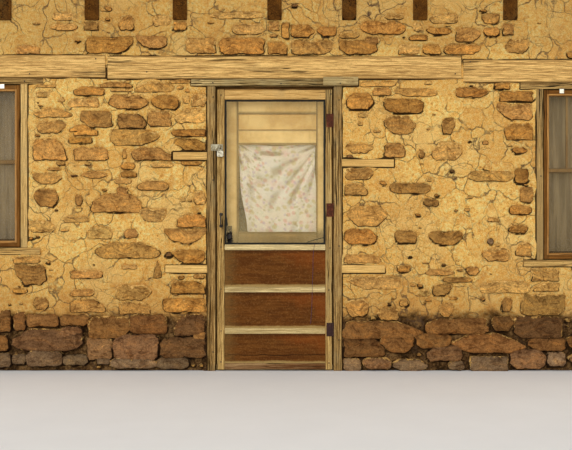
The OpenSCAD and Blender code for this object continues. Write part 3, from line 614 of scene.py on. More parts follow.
# How far the mud stands out: the wall's broad swell, then lumps
swell = 0.007 * mottle(flat, 0.7, 1) + 0.003 * mottle(flat, 0.22, 2)
relief = swell + 0.0032 * mottle(flat, 0.085, 3) + 0.0026 * mottle(flat, 0.036, 4)
joint = np.zeros(len(flat))
# The gap that has opened along the timbers in the front wall, where the mud has shrunk, painted dark as
# shade
for turn, low, high in holes:
    if turn == 0:
        ends = [np.minimum(flat[:, axis] - low[axis], high[axis] - flat[:, axis]) for axis in (0, 2)]
        away = -np.minimum(*ends)
        gap = np.clip(1.15 - away / GAP_W, 0, 1) * (away > -1e-4) * (flat[:, 1] < front_y + 1e-4)
        uneven = np.clip(0.75 + 0.9 * mottle(flat, 0.11, 22), 0, 1)
        joint = np.maximum(joint, gap * uneven)
relief -= GAP_DEPTH * joint

# Stones, as they show: left and right columns and top and bottom rows in pixels of the photograph, and
# their look. A look is a tone, and how much is broken off each corner, in tenths, from the upper left
# one round by the right. Tones: golden, tan, brown, orange, dark, pinkish, grey (K)
STONES = [
    (36, 56, 84, 88, "G2222"), (35, 50, 90, 98, "T3333"), (73, 105, 86, 96, "O5422"),
    (99, 133, 81, 88, "B6710"), (110, 133, 88, 92, "G2222"), (134, 176, 81, 93, "G8651"),
    (169, 191, 80, 84, "G2222"), (177, 184, 85, 90, "G3333"), (182, 190, 94, 104, "T7105"),
    (190, 209, 93, 107, "T4020"), (66, 100, 97, 108, "T6212"), (108, 150, 94, 110, "B3655"),
    (150, 180, 95, 110, "O4536"), (174, 208, 108, 124, "T7534"), (32, 74, 107, 118, "G6933"),
    (80, 113, 110, 128, "B1315"), (117, 147, 113, 129, "B1722"), (147, 172, 110, 127, "B3312"),
    (35, 67, 120, 134, "B6364"), (69, 93, 124, 132, "O7720"), (73, 99, 129, 136, "O7211"),
    (68, 93, 136, 144, "O3222"), (109, 160, 129, 146, "G1573"), (170, 208, 129, 137, "O4114"),
    (173, 209, 138, 151, "O2617"), (32, 67, 138, 161, "B2711"), (73, 109, 147, 161, "B2321"),
    (122, 127, 149, 160, "B3333"), (131, 172, 147, 161, "B5713"), (180, 203, 161, 166, "O1155"),
    (150, 175, 162, 168, "T4444"), (121, 136, 162, 170, "O4332"), (120, 138, 170, 178, "O2533"),
    (56, 66, 161, 166, "B3333"), (84, 91, 161, 166, "G3333"), (31, 62, 172, 185, "G2566"),
    (46, 62, 167, 171, "B3333"), (80, 108, 171, 179, "B7777"), (136, 169, 180, 191, "B6622"),
    (113, 133, 177, 185, "T4655"), (33, 59, 188, 208, "B3456"), (75, 83, 194, 206, "B3333"),
    (91, 143, 193, 213, "B5611"), (116, 129, 185, 198, "B4411"), (193, 208, 190, 206, "T4444"),
    (139, 167, 208, 223, "T1147"), (176, 207, 214, 228, "O5411"), (62, 90, 216, 223, "T3333"),
    (27, 56, 220, 233, "T3533"), (86, 113, 226, 240, "T3322"), (123, 139, 228, 239, "B5544"),
    (163, 207, 228, 245, "B0089"), (93, 162, 242, 259, "B6633"), (173, 206, 249, 264, "O3336"),
    (12, 41, 256, 264, "G3222"), (14, 47, 264, 286, "B1336"), (12, 28, 288, 294, "O2233"),
    (69, 103, 270, 279, "B2222"), (120, 139, 264, 270, "T3333"), (153, 162, 260, 279, "B8811"),
    (193, 205, 274, 279, "B3333"), (170, 206, 281, 294, "O3511"), (115, 153, 284, 301, "G3562"),
    (69, 95, 289, 297, "B3333"), (69, 107, 299, 313, "B3721"), (119, 151, 301, 315, "B2501"),
    (162, 206, 298, 313, "O1113"), (32, 49, 297, 311, "B4446"), (12, 26, 311, 332, "B3123"),
    (25, 59, 313, 328, "G2221"), (59, 88, 315, 326, "G3232"), (88, 130, 317, 339, "B3351"),
    (128, 167, 315, 334, "B3322"), (174, 205, 315, 336, "D7142"), (193, 205, 332, 340, "G3333"),
    (12, 83, 329, 351, "P5243"), (60, 83, 327, 337, "P5523"), (87, 112, 338, 360, "P2222"),
    (113, 158, 335, 360, "P3222"), (160, 206, 338, 358, "D4222"), (26, 62, 351, 366, "K3322"),
    (12, 26, 355, 364, "K3333"), (62, 88, 355, 365, "K3333"), (110, 156, 359, 368, "K3333"),
    (156, 189, 358, 369, "K3333"), (97, 110, 359, 364, "K3333"), (345, 374, 92, 110, "O5544"),
    (358, 396, 81, 87, "G4222"), (372, 392, 87, 96, "B4322"), (393, 438, 88, 97, "G3536"),
    (382, 424, 98, 114, "O2326"), (357, 369, 112, 118, "T3333"), (383, 416, 115, 135, "B3546"),
    (357, 364, 120, 126, "T3333"), (345, 374, 143, 154, "G2456"), (384, 406, 142, 160, "B3522"),
    (418, 425, 149, 159, "B3333"), (441, 456, 117, 135, "B5363"), (431, 463, 142, 161, "T5343"),
    (455, 489, 87, 98, "O2553"), (494, 510, 81, 90, "O1111"), (499, 534, 91, 102, "O2210"),
    (496, 533, 103, 121, "B1128"), (504, 534, 123, 141, "O5312"), (511, 528, 147, 154, "O4555"),
    (514, 529, 168, 184, "O2233"), (519, 534, 186, 203, "B2222"), (508, 532, 205, 215, "O3333"),
    (345, 374, 167, 181, "B1352"), (344, 368, 183, 196, "B2611"), (389, 432, 183, 194, "B2434"),
    (423, 440, 198, 207, "B2623"), (346, 388, 205, 227, "G4456"), (468, 514, 171, 182, "G3333"),
    (343, 378, 228, 245, "O3633"), (394, 418, 230, 244, "B2434"), (428, 464, 231, 246, "B2267"),
    (482, 511, 247, 262, "G6424"), (515, 532, 242, 257, "B6312"), (508, 529, 224, 234, "O3343"),
    (343, 383, 254, 264, "B1622"), (396, 411, 265, 273, "O3233"), (348, 402, 275, 290, "T2236"),
    (346, 370, 299, 318, "B4364"), (377, 400, 306, 321, "B5433"), (399, 409, 299, 307, "B3333"),
    (424, 455, 269, 276, "B5544"), (431, 454, 283, 297, "B7283"), (417, 431, 289, 297, "T4444"),
    (442, 473, 277, 283, "B4444"), (465, 480, 266, 276, "B5555"), (438, 455, 303, 318, "B2277"),
    (479, 531, 280, 294, "T6422"), (501, 513, 297, 313, "B5264"), (531, 560, 268, 282, "G1101"),
    (533, 560, 282, 292, "G9111"), (520, 566, 294, 316, "G1131"), (514, 562, 317, 338, "D2224"),
    (528, 566, 338, 351, "B3225"), (343, 424, 322, 339, "B1741"), (425, 487, 319, 334, "B5112"),
    (467, 489, 326, 332, "B3333"), (493, 514, 317, 331, "B3453"), (343, 385, 339, 357, "B1522"),
    (381, 414, 338, 353, "B1167"), (416, 451, 334, 348, "B3244"), (452, 527, 334, 353, "B6736"),
    (426, 462, 346, 361, "P6123"), (470, 508, 357, 371, "K2222"), (510, 547, 350, 369, "P3444"),
    (547, 566, 353, 366, "K3333"), (343, 361, 359, 371, "K2323"), (449, 465, 362, 370, "K4444"),
    (15, 41, 44, 55, "B5511"), (51, 74, 12, 21, "T3333"), (50, 79, 23, 31, "G4444"),
    (83, 99, 20, 31, "B1111"), (85, 133, 36, 54, "O3161"), (118, 135, 15, 31, "B4333"),
    (152, 172, 15, 27, "T3353"), (173, 187, 19, 31, "O1111"), (136, 168, 35, 49, "B1347"),
    (185, 217, 37, 54, "B2313"), (219, 266, 37, 55, "O2422"), (209, 265, 12, 19, "T3333"),
    (231, 265, 23, 35, "T4343"), (267, 288, 41, 55, "O1511"), (268, 280, 20, 31, "B1111"),
    (281, 290, 22, 39, "O2001"), (290, 315, 24, 38, "O0552"), (316, 337, 26, 37, "O3136"),
    (290, 334, 40, 55, "B1151"), (338, 360, 31, 39, "G5343"), (339, 378, 39, 55, "O1144"),
    (359, 407, 20, 35, "O4535"), (365, 381, 36, 45, "B2443"), (384, 406, 13, 20, "G4444"),
    (413, 424, 22, 32, "T3333"), (426, 453, 27, 35, "O2446"), (408, 428, 34, 41, "O6422"),
    (398, 420, 43, 55, "T3521"), (422, 442, 44, 55, "O3223"), (429, 459, 14, 24, "T4333"),
    (455, 482, 27, 43, "B2462"), (443, 481, 44, 55, "O5243"), (481, 500, 13, 25, "B2146"),
    (502, 514, 23, 36, "B1111"), (483, 500, 27, 37, "O3344"), (505, 529, 39, 54, "B4353"),
    (487, 494, 238, 245, "K5544"), (363, 392, 358, 369, "P5534"), (393, 428, 360, 371, "K4655"),
    (-2, 11, 309, 333, "B3222"), (-2, 8, 336, 351, "B3322"), (-2, 11, 354, 367, "K3333"),
]
TONES = {
    "G": paint(202, 154, 84), "T": paint(212, 166, 94), "B": paint(188, 140, 76), "O": paint(194, 140, 70),
    "D": paint(118, 86, 52), "P": paint(144, 106, 70), "K": paint(134, 108, 78),
}
# How far each tone's stones stand out of the mud, in metres, and how dark the painted shade in the gap round
# them is
STANDING = {
    "G": (0.004, 0.35), "T": (0.002, 0.15), "B": (0.006, 0.55), "O": (0.007, 0.7), "D": (0.009, 0.9),
    "P": (0.013, 0.9), "K": (0.011, 0.8),
}
BASE_TOP = 0.4
# How far the mud has worn back below BASE_TOP
BASE_RECESS = 0.026
# How the corners of the stones that the photograph doesn't show are broken off
BROKEN = [
    "5422", "6651", "7534", "2711", "1722", "3655", "2617", "1147", "5611", "6633", "3336", "3721", "2434",
]
# Rings of a stone's face: how far in from its edge, in metres, and how near the edge that counts as
STONE_RINGS = ((0.05, 0.0), (0.022, 0.3), (0.011, 0.6), (0.0045, 0.82), (0.0, 1.0))
STONE_DEPTH = 0.07
# How much darker the stones at the foot are
FOOT_TINT = np.array([0.52, 0.465, 0.52])


def stone_outline(width, height, broken, chance):
    """Points round a stone about its middle: a rough block with its corners broken off."""
    cuts = np.array([int(tenths) for tenths in broken]) / 10 + chance.uniform(-0.04, 0.05, 4)
    across, up = np.clip(cuts, 0.03, 1), np.clip(1.7 * cuts, 0.08, 2)
    for sides, pairs in ((across, ((0, 1), (2, 3))), (up, ((0, 3), (1, 2)))):
        for one, other in pairs:
            sides[[one, other]] *= min(1, 1.8 / (sides[one] + sides[other]))
    corners = []
    for k, (side, level) in enumerate(((-1, 1), (1, 1), (1, -1), (-1, -1))):
        on_level = np.array([side * (1 - across[k]), level])
        on_upright = np.array([side, level * (1 - up[k])])
        shoulder = 0.5 * (on_level + on_upright)
        shoulder = shoulder + chance.uniform(-0.05, 0.3) * (np.array([side, level]) - shoulder)
        trio = [on_level, shoulder, on_upright]
        corners += trio if side == level else trio[::-1]
        # The middle of the edge that follows, where enough of that edge is left
        bulge = chance.uniform(-0.1, 0.03)
        shifts = chance.uniform((-0.4, -0.3, -0.4, -0.3), (0.4, 0.3, 0.4, 0.3))
        middles = ((shifts[0], 1 + bulge), (1 + 0.5 * bulge, shifts[1]),
                   (shifts[2], -1 - bulge), (-1 - 0.5 * bulge, shifts[3]))
        cut_off = up if k in (1, 3) else across
        if cut_off[k] + cut_off[(k + 1) % 4] < 1.2:
            corners.append(np.array(middles[k]))
    x, z = (np.array(corners) * (width / 2, height / 2)).T
    loop_x, loop_z = np.append(x, x[0]), np.append(z, z[0])
    way = np.concatenate([[0], np.cumsum(np.hypot(np.diff(loop_x), np.diff(loop_z)))])
    steps = spaced(way, min(0.018, max(0.006, way[-1] / 22)))[:-1]
    x, z = np.interp(steps, way, loop_x), np.interp(steps, way, loop_z)
    x = 0.1 * np.roll(x, 1) + 0.8 * x + 0.1 * np.roll(x, -1)
    z = 0.1 * np.roll(z, 1) + 0.8 * z + 0.1 * np.roll(z, -1)
    nick = min(0.005, 0.07 * height)
    nicks = chance.uniform(-1, 0.5, len(x)) * nick / np.maximum(np.hypot(x, z), 0.004)
    turns = steps / way[-1] * 2 * math.pi
    waves = sum(chance.uniform(0, 0.02) * np.cos(k * turns + chance.uniform(0, 6.3)) for k in range(3, 9))
    return np.stack([x * (1 + nicks + waves), z * (1 + nicks + waves)], axis=1)


def hole_rects(turn):
    """Where the openings and timbers of one wall show, as boxes along it and up it."""
    rects = [((low[0], low[2]), (high[0], high[2])) for wall, low, high in holes if wall == turn]
    way = 1 if turn == 0 else -1
    ends = [(low, high + (0, 0, 0.5)) for low, high in solid_boxes("roof_joists") if turn in (0, 180)]
    ends += solid_boxes("roof_drains") if turn == 180 else []
    for low, high in ends:
        left, right = sorted((way * low[0], way * high[0]))
        rects.append(((left, low[2]), (right, high[2])))
    return rects


def kept_off(low, high, rects, margin):
    """Draws a stone's box back from timbers and openings; nothing where little is left of it."""
    low, high = np.array(low, dtype=float), np.array(high, dtype=float)
    for rect_low, rect_high in rects:
        over = [min(high[a], rect_high[a] + margin) - max(low[a], rect_low[a] - margin) for a in (0, 1)]
        if min(over) <= 0:
            continue
        axis = 0 if over[0] < over[1] else 1
        if low[axis] + high[axis] < rect_low[axis] + rect_high[axis]:
            high[axis] = rect_low[axis] - margin
        else:
            low[axis] = rect_high[axis] + margin
    return (low, high) if min(high - low) > 0.004 else None


def lay_courses(turn, reach, chance, part):
    """Stones in rows on a part of a wall: thick and close at its foot, half plastered over above."""
    laid = []
    rects = hole_rects(turn)
    z = 0.0
    while z < deck_low[2] + 0.25:
        low_course = z < BASE_TOP - 0.06
        tones = "DPKBPD" if z < 0.12 else "BBDPO" if low_course else "GGTBBOOT"
        row = chance.uniform(0.1, 0.16) if low_course else chance.uniform(0.055, 0.125)
        along = reach[0] + chance.uniform(0.0, 0.12)
        while along < reach[1] - 0.1:
            width = min(row * chance.uniform(1.2, 3.4), 0.46, reach[1] - along - 0.02)
            middle = np.array([[along + width / 2, 0.0, z + row / 2]])
            bare = low_course or chance.uniform(-0.5, 0.8) < mottle(middle + turn, 0.5, part)[0]
            if bare and width > 0.06:
                lift = chance.uniform(0, 0.012, 2)
                box = kept_off((along, z + lift[0]), (along + width, z + row - lift[1]), rects, 0.008)
                tone = chance.choice(list(tones))
                if box is not None:
                    laid.append((*box, str(tone) + str(chance.choice(BROKEN))))
            along += width + (chance.uniform(0.004, 0.014) if low_course else chance.uniform(0.015, 0.08))
        z += row + chance.uniform(0.004, 0.012)
    return laid


stones_on = {}
for turn in (0, 90, -90, 180):
    chance = np.random.default_rng(20 + turn % 360)
    reach = side_x if turn in (0, 180) else back_y
    if turn == 0:
        stones_on[turn] = lay_courses(turn, (-reach + 0.04, FINE_X[0] + 0.06), chance, 31)
        stones_on[turn] += lay_courses(turn, (FINE_X[1] - 0.04, reach - 0.04), chance, 32)
        for left, right, top, foot, look in STONES:
            (x0, z1), (x1, z0) = photo_place(left, top), photo_place(right, foot)
            more = 0.006 if z1 < BASE_TOP + 0.01 else -0.002
            box = kept_off((x0 - more, z0 - more), (x1 + more, z1 + more), hole_rects(turn), 0.004)
            if box is not None:
                stones_on[turn].append((*box, look))
    else:
        stones_on[turn] = lay_courses(turn, (-reach + 0.04, reach - 0.04), chance, 33 + turn % 360)


def scatter_chips(laid, reach, top, count, chance):
    """Small chips of stone pressed into the mud between the front wall's stones."""
    rects = hole_rects(0)
    boxes = np.array([(*low, *high) for low, high, _ in laid])
    chips = []
    for _ in range(count):
        width = chance.uniform(0.015, 0.06)
        tall = width * chance.uniform(0.25, 0.75)
        low = np.array([chance.uniform(reach[0], reach[1] - width), chance.uniform(0.015, top - 0.05)])
        high = low + (width, tall)
        apart = (boxes[:, :2] > high) | (boxes[:, 2:] < low)
        box = kept_off(low, high, rects, 0.006) if apart.any(axis=1).all() else None
        if box is not None and box[0][0] == low[0] and box[1][0] == high[0]:
            chips.append((*box, str(chance.choice(list("GTTBOOD"))) + str(chance.choice(BROKEN))))
    return chips


stones_on[0] += scatter_chips(stones_on[0], FINE_X, deck_low[2], 480, np.random.default_rng(77))
stones_on[0] += scatter_chips(stones_on[0], FINE_X, BASE_TOP, 260, np.random.default_rng(78))


def shape_stone(outline, middle, crown, steep, tilt, proud):
    """A stone as a mesh on a wall: rings from its face out to its rim, and its buried sides."""
    sides = len(outline)
    rings, rims = [[(0, 0, 0)]], [[0]]
    for inset, near_edge in STONE_RINGS:
        scale = 1 / (1 + 1.2 * inset / np.hypot(*outline.T))
        fall = np.full(sides, crown * near_edge ** steep)
        rings.append(np.column_stack([outline[:, 0] * scale, fall, outline[:, 1] * scale]))
        rims.append(np.full(sides, near_edge))
    rings.append(np.column_stack([outline[:, 0], np.full(sides, STONE_DEPTH), outline[:, 1]]))
    rims.append(np.full(sides, 1.6))
    body = np.vstack(rings)
    shown = slice(0, 1 + sides * len(STONE_RINGS))
    lumps = body[shown] + (middle[0], 0, middle[1])
    rough = 0.0025 * mottle(lumps, 0.09, 11) + 0.0014 * mottle(lumps * (1, 1, 2.5), 0.035, 12)
    body[shown, 1] += rough + tilt[0] * body[shown, 0] + tilt[1] * body[shown, 2] - proud
    faces = []
    for k in range(sides):
        a, b = 1 + k, 1 + (k + 1) % sides
        faces.append((0, a, b))
        for ring in range(0, sides * len(STONE_RINGS), sides):
            faces.append((a + ring, a + ring + sides, b + ring + sides, b + ring))
    return body + (middle[0], 0, middle[1]), faces, np.concatenate(rims)


def joined(parts):
    """One mesh of parts that each hold points, faces and then values for their points."""
    points, faces, *values = zip(*parts)
    starts = np.cumsum([0, *map(len, points)])
    faces = [[corner + start for corner in face] for start, own in zip(starts, faces) for face in own]
    return [np.vstack(points), faces, *map(np.concatenate, values)]


def only_used(faces):
    """The points that faces use, and the faces by those points' new numbers."""
    used, corners = np.unique(np.concatenate([np.array(face) for face in faces]), return_inverse=True)
    return used, np.split(corners, np.cumsum([len(face) for face in faces])[:-1])


rubble = {}
for turn, laid in stones_on.items():
    chance = np.random.default_rng(60 + turn % 360)
    axis, face_at, way = {
        0: (1, front_y, 1), 180: (1, back_y, -1), 90: (0, side_x, 1), -90: (0, -side_x, -1),
    }[turn]
    on_plane = np.flatnonzero((np.abs(flat[:, axis] - face_at) < 1e-4) & (flat[:, 2] < top_z - 0.01))
    along, height = flat[on_plane, 1 - axis] * way, flat[on_plane, 2]
    worn_top = BASE_TOP + 0.02 * mottle(flat[on_plane], 0.15, 9)
    recess = BASE_RECESS * np.clip((worn_top - height) / 0.035, 0, 1)
    if turn == 0:
        recess[np.abs(np.abs(along) - DOORWAY_HALF) < 0.03] *= 0.4
    level = relief[on_plane] - recess
    # Painted shade in the mud that has worn back at the foot
    deep = recess / BASE_RECESS * 0.22
    stones = []
    for low, high, (tone, *broken) in laid:
        middle = (low + high) / 2
        width, tall = high - low
        in_photo = turn == 0 and FINE_X[0] < middle[0] < FINE_X[1]
        outline = stone_outline(width, tall, broken, chance)
        outline = outline if in_photo and width > 0.06 else outline[::2]
        proud, gap_shade = STANDING[tone]
        bulge = 0.006 * mottle(on_wall([(middle[0], 0, middle[1])], turn), 0.7, 1)[0]
        proud = proud * chance.uniform(0.6, 1.4) + bulge
        proud += 0.0 if in_photo else 0.006
        gap_shade = (max(gap_shade, 0.8) if middle[1] < BASE_TOP else gap_shade) * chance.uniform(0.5, 1.2)
        base = middle[1] < BASE_TOP - 0.02
        crown = chance.uniform(0.012, 0.02) if base else chance.uniform(0.005, 0.01)
        crown = min(crown, 0.25 * min(width, tall))
        tilt = chance.uniform(-0.03, 0.03, 2)
        body, faces, rims = shape_stone(outline, middle, crown, 2 if base else 4, tilt, proud)
        jitter = 1 + chance.normal(0, 0.13) + chance.normal(0, 0.015, 3)
        jitter *= 1 if not base or tone in "DPK" else FOOT_TINT if width > 0.06 else 0.66
        tint = np.tile(np.array(TONES[tone]) * jitter, (len(body), 1))
        spot = np.pad((body[:, [0, 2]] - middle) / (width / 2, tall / 2), ((0, 0), (0, 1)))
        stones.append((on_wall(body, turn), faces, tint, rims, spot, np.full(len(body), gap_shade)))

        # The mud stays under the stone, and round it a ditch opens, deepest along its foot, where the mud is
        # also painted dark as shade
        near = np.abs(along - middle[0]) < width * 0.75 + 0.03
        near = np.flatnonzero(near & (np.abs(height - middle[1]) < tall * 0.75 + 0.03))
        dx, dz = along[near] - middle[0], height[near] - middle[1]
        turns = np.arctan2(outline[:, 1], outline[:, 0])
        order = np.argsort(turns)
        edge = np.interp(np.arctan2(dz, dx), turns[order], np.hypot(*outline[order].T), period=2 * math.pi)
        past_edge = np.hypot(dx, dz) - edge
        under = np.clip(-past_edge / 0.012, 0, 1)
        level[near] = level[near] * (1 - under) + np.minimum(level[near], -0.02) * under
        if in_photo or base:
            below = 0.45 - 0.65 * dz / np.maximum(np.hypot(dx, dz), 1e-6) * min(1, width / tall)
            uneven = 0.75 + 0.6 * mottle(flat[on_plane][near], 0.05, 21)
            # Painted shade in the ditch, most under the stone
            ditch = gap_shade * np.clip(below * uneven, 0, 1) * np.exp(-((past_edge - 0.003) / 0.009) ** 2)
            level[near] -= 0.012 * ditch * (past_edge > -0.004)
            deep[near] = np.maximum(deep[near], 1.3 * ditch)
    relief[on_plane] = level
    joint[on_plane] = np.maximum(joint[on_plane], deep)
    rubble[turn] = joined(stones)

from_side = np.stack([side_x - np.abs(flat[:, 0]), back_y - np.abs(flat[:, 1])], axis=1).min(axis=1)
freedom[(from_side > 0.3) & (flat[:, 2] < 0.06)] = 0
mud = mud + outward * (relief * freedom)[:, None]

# Colour of the mud: golden and crumbly, pale on its lumps and brown in its pits as painted light and shade,
# brown in its cracks, darker towards the top under the joists and towards the foot, and painted nearly black
# as shade in the gaps round the timbers and stones and where it has washed out at the foot
mud_finish = Finish("mud_plaster", rough=0.95, gloss=0.04)
place = mud_finish.local()
patch = place.noise(9, 7, 0.66)
lumps_lit_and_shaded = place.noise(48, 9, 0.74)
grit = place.noise(150, 5, 0.8)
height = place.parts()[2]
bent = place.warp(place.noise(4, 2, 0.5, "Color"), 0.34)
bent = bent.warp(place.noise(28, 4, 0.66, "Color"), 0.035)
flake = bent.cells(5, "F1", "Color").parts()[0]
crack = (bent.cells(5, "DISTANCE_TO_EDGE") + grit * 0.03 - 0.015).below(0.004, 0.026)
crack = crack * place.noise(2.2, 3).between(0.4, 0.5)
hair = bent.cells(11, "DISTANCE_TO_EDGE").below(0.006, 0.036) * place.noise(4, 3).between(0.47, 0.56)
cracked = (crack * 0.8 + hair * 0.5).clamped() * patch.between(0.36, 0.56, 0.35, 1)
# At the foot the mud goes brown, and nearly black as painted shade in the recesses between the stones
foot_tone_and_shade = (patch * 0.5 + lumps_lit_and_shaded * 0.5).ramp(
    (0.44, paint(14, 9, 6)), (0.51, paint(84, 58, 34)), (0.58, paint(142, 108, 66)))
# Painted light and shade: the colour follows the lumps, pale on their tops and brown in the pits between
# them
mud_finish.colour = lumps_lit_and_shaded.ramp((0.34, paint(176, 110, 40)), (0.42, paint(250, 184, 88)),
                              (0.5, paint(255, 204, 106)), (0.61, (1.0, 0.83, 0.33)))
for stain in (
        (patch, 0.52, 0.66, 0.75, paint(255, 207, 118)), (patch, 0.48, 0.34, 0.65, paint(218, 152, 70)),
        (flake, 0.3, 0.9, 0.4, paint(234, 166, 76)),
        (place.noise(1.7, 5), 0.45, 0.62, 0.35, paint(214, 154, 76)),
        (place.noise(4, 3), 0.52, 0.66, 0.6, paint(255, 208, 122)),
        (grit, 0.53, 0.6, 0.5, paint(142, 92, 38)), (grit, 0.46, 0.39, 0.55, paint(255, 234, 164)),
        (height, 2.15, 2.35, 0.35, paint(160, 118, 62)), (height, 1.0, 0.1, 0.3, paint(172, 118, 58)),
        (height + patch * 0.5, 1.0, 0.58, 0.4, paint(172, 112, 54)),
        (height + patch * 0.2, 0.55, 0.44, 0.95, foot_tone_and_shade)):
    mud_finish.stain(*stain)
mud_finish.cover(cracked, paint(98, 74, 54))
# Painted shade: nearly black in the gaps round the timbers and stones and in the worn-back foot
gap_shade = mud_finish.attribute("joint", "Fac") + lumps_lit_and_shaded * 0.6 - 0.1
mud_finish.stain(gap_shade, 0.44, 0.72, 0.95, paint(44, 28, 15))
mud_finish.bump(lumps_lit_and_shaded * 1.0 + patch * 0.4 + grit * 0.3 - cracked * 0.3, 0.02)

MUD_PIECES = {
    1: ("mud_front", ["front_wall_left", "front_wall_right", "front_wall_top"]),
    2: ("mud_back", ["back_wall", "back_wall_top"]), 3: ("mud_left", ["left_wall"]),
    4: ("mud_right", ["right_wall"]), 5: ("mud_parapet", ["parapet"]),
}
for number, (name, nodes) in MUD_PIECES.items():
    used, faces = only_used(mud_faces[number])
    add_piece(name, mud[used], faces, mud_finish, "house", "masonry", nodes, crease=50, joint=joint[used])

# Colour of the stones: each its own, mottled and layered, greyer above, with mud left on the edges, painted
# highlight and shade on their bedding layers, and a painted shadow round their rims
stone_finish = Finish("sandstone", rough=0.9, gloss=0.05)
place = stone_finish.local()
patch = place.noise(13, 7, 0.66)
grain = place.noise(55, 8, 0.8)
grit = place.noise(140, 5, 0.8)
smear = place.noise(24, 9, 0.76)
bent = place.warp(place.noise(3, 2, 0.5, "Color"), 0.3)
layer = bent.stretch((8, 8, 50)).noise(1, 7, 0.72)
split = bent.stretch((6, 6, 18)).cells(1, "DISTANCE_TO_EDGE").below(0.012, 0.05)
upper = stone_finish.attribute("spot").parts()[1]
rim = stone_finish.attribute("rim", "Fac")
# How dark the painted shade in the gap round each stone is
gap_shade = stone_finish.attribute("open", "Fac")
stone_finish.colour = stone_finish.attribute("tint", "Color")
stone_finish.cover(1.0, grain.ramp((0.36, (0.44, 0.38, 0.33)), (0.45, (0.84, 0.8, 0.76)),
                                   (0.53, (1.0, 1.0, 1.0)), (0.64, (1.32, 1.32, 1.24))), "MULTIPLY")
for stain in (
        (patch, 0.5, 0.66, 0.8, (0.62, 0.54, 0.48)), (patch, 0.46, 0.34, 0.6, (1.3, 1.25, 1.1)),
        # Painted light and shade: the raised bedding layers are painted brighter, the sunken ones darker
        (layer, 0.5, 0.6, 0.7, (1.45, 1.32, 1.08)), (layer, 0.46, 0.36, 0.7, (0.5, 0.42, 0.36)),
        (upper * 0.6 + patch, 0.5, 1.05, 0.7, (0.68, 0.68, 0.7)),
        (grit, 0.52, 0.6, 0.6, (0.46, 0.38, 0.32)), (grit, 0.47, 0.4, 0.45, (1.5, 1.48, 1.35))):
    stone_finish.stain(*stain, "MULTIPLY")
stone_finish.cover(split * patch.between(0.48, 0.54) * 0.6, (0.36, 0.3, 0.26), "MULTIPLY")
muddy = (smear + rim * 0.2 + upper * 0.03 - gap_shade * 0.22).between(0.57, 0.61)
stone_finish.cover(muddy * 0.9, grain.ramp(
    (0.34, paint(132, 82, 34)), (0.46, paint(206, 152, 76)), (0.62, paint(250, 208, 130))))
shadow = (place.noise(13, 4, 0.6) + gap_shade * 0.3 - upper * 0.2).between(0.59, 0.67)
shadow = (rim + smear * 0.2).between(0.84, 0.96) * shadow
stone_finish.cover(shadow * 0.94, paint(40, 25, 13))
stone_finish.bump(patch * 0.5 + layer * 0.6 + grain * 0.6 + muddy * 0.2, 0.016)
for turn, name in ((0, "front"), (90, "right"), (-90, "left"), (180, "back")):
    points, faces, tints, rims, spots, opens = rubble[turn]
    add_piece("stones_" + name, points, faces, stone_finish, "house", "masonry", crease=60,
              tint=tints, rim=rims, spot=spots, open=opens)


# Lintels: heavy sawn timbers, side by side through the wall over the door and each window, bare and
# weathered to a golden tan, with knots and splits.
def timber(low, high, seed, wear, edge, step):
    """A worn length of timber with eased edges: its points and faces, where each point lies in the
    grain, and its shares of the way along, across the wider faces and through."""
    low, high = np.array(low, dtype=float), np.array(high, dtype=float)
    size = high - low
    axis = int(np.argmax(size))
    second, third = (axis + 1) % 3, (axis + 2) % 3
    wide, thick_way, long_way = size[second], size[third], size[axis]
    edge = min(edge, 0.3 * wide, 0.3 * thick_way)
    across = np.linspace(edge, wide - edge, max(2, round(wide / 0.05) + 1))
    through = np.linspace(edge, thick_way - edge, max(2, round(thick_way / 0.05) + 1))
    ring = [(s, 0) for s in across] + [(wide, s) for s in through]
    ring += [(s, thick_way) for s in across[::-1]] + [(0, s) for s in through[::-1]]
    ring = np.array(ring)
    inner = np.clip(ring, edge, (wide - edge, thick_way - edge))
    middle_count = max(2, round(long_way / step))
    stations = [0, edge, *np.linspace(edge, long_way - edge, middle_count + 1)[1:], long_way]
    points = []
    for i, station in enumerate(stations):
        rows = inner if i in (0, len(stations) - 1) else ring
        points.append(np.column_stack([np.full(len(ring), station), rows]))
    points = np.vstack(points)
    outer = points[:, 1:] - np.clip(points[:, 1:], 2 * edge, (wide - 2 * edge, thick_way - 2 * edge))
    outer /= np.maximum(np.linalg.norm(outer, axis=1), 1e-9)[:, None]
    shifts = np.array([7.3 * seed, 3.1 * seed, 5.7 * seed])
    dents = 0.5 + 0.5 * mottle(points * (1, 2.5, 2.5) + shifts, 0.16, 13)
    chips = np.clip(mottle(points * (1, 3, 3) + shifts, 0.05, 14), 0, 1) ** 2
    worn_back = wear * (0.6 * dents + 1.6 * chips)
    shaped = points.copy()
    shaped[:, 1:] -= outer * worn_back[:, None]
    placed = np.empty_like(shaped)
    placed[:, axis], placed[:, second], placed[:, third] = shaped.T
    count = len(ring)
    faces = [list(range(count - 1, -1, -1))]
    for i in range(len(stations) - 1):
        for k in range(count):
            a, b = i * count + k, i * count + (k + 1) % count
            faces.append((a, b, b + count, a + count))
    faces.append(list(range((len(stations) - 1) * count, len(stations) * count)))
    place = points / (long_way, wide, thick_way)
    return placed + low, faces, points + shifts, place if wide > thick_way else place[:, [0, 2, 1]]


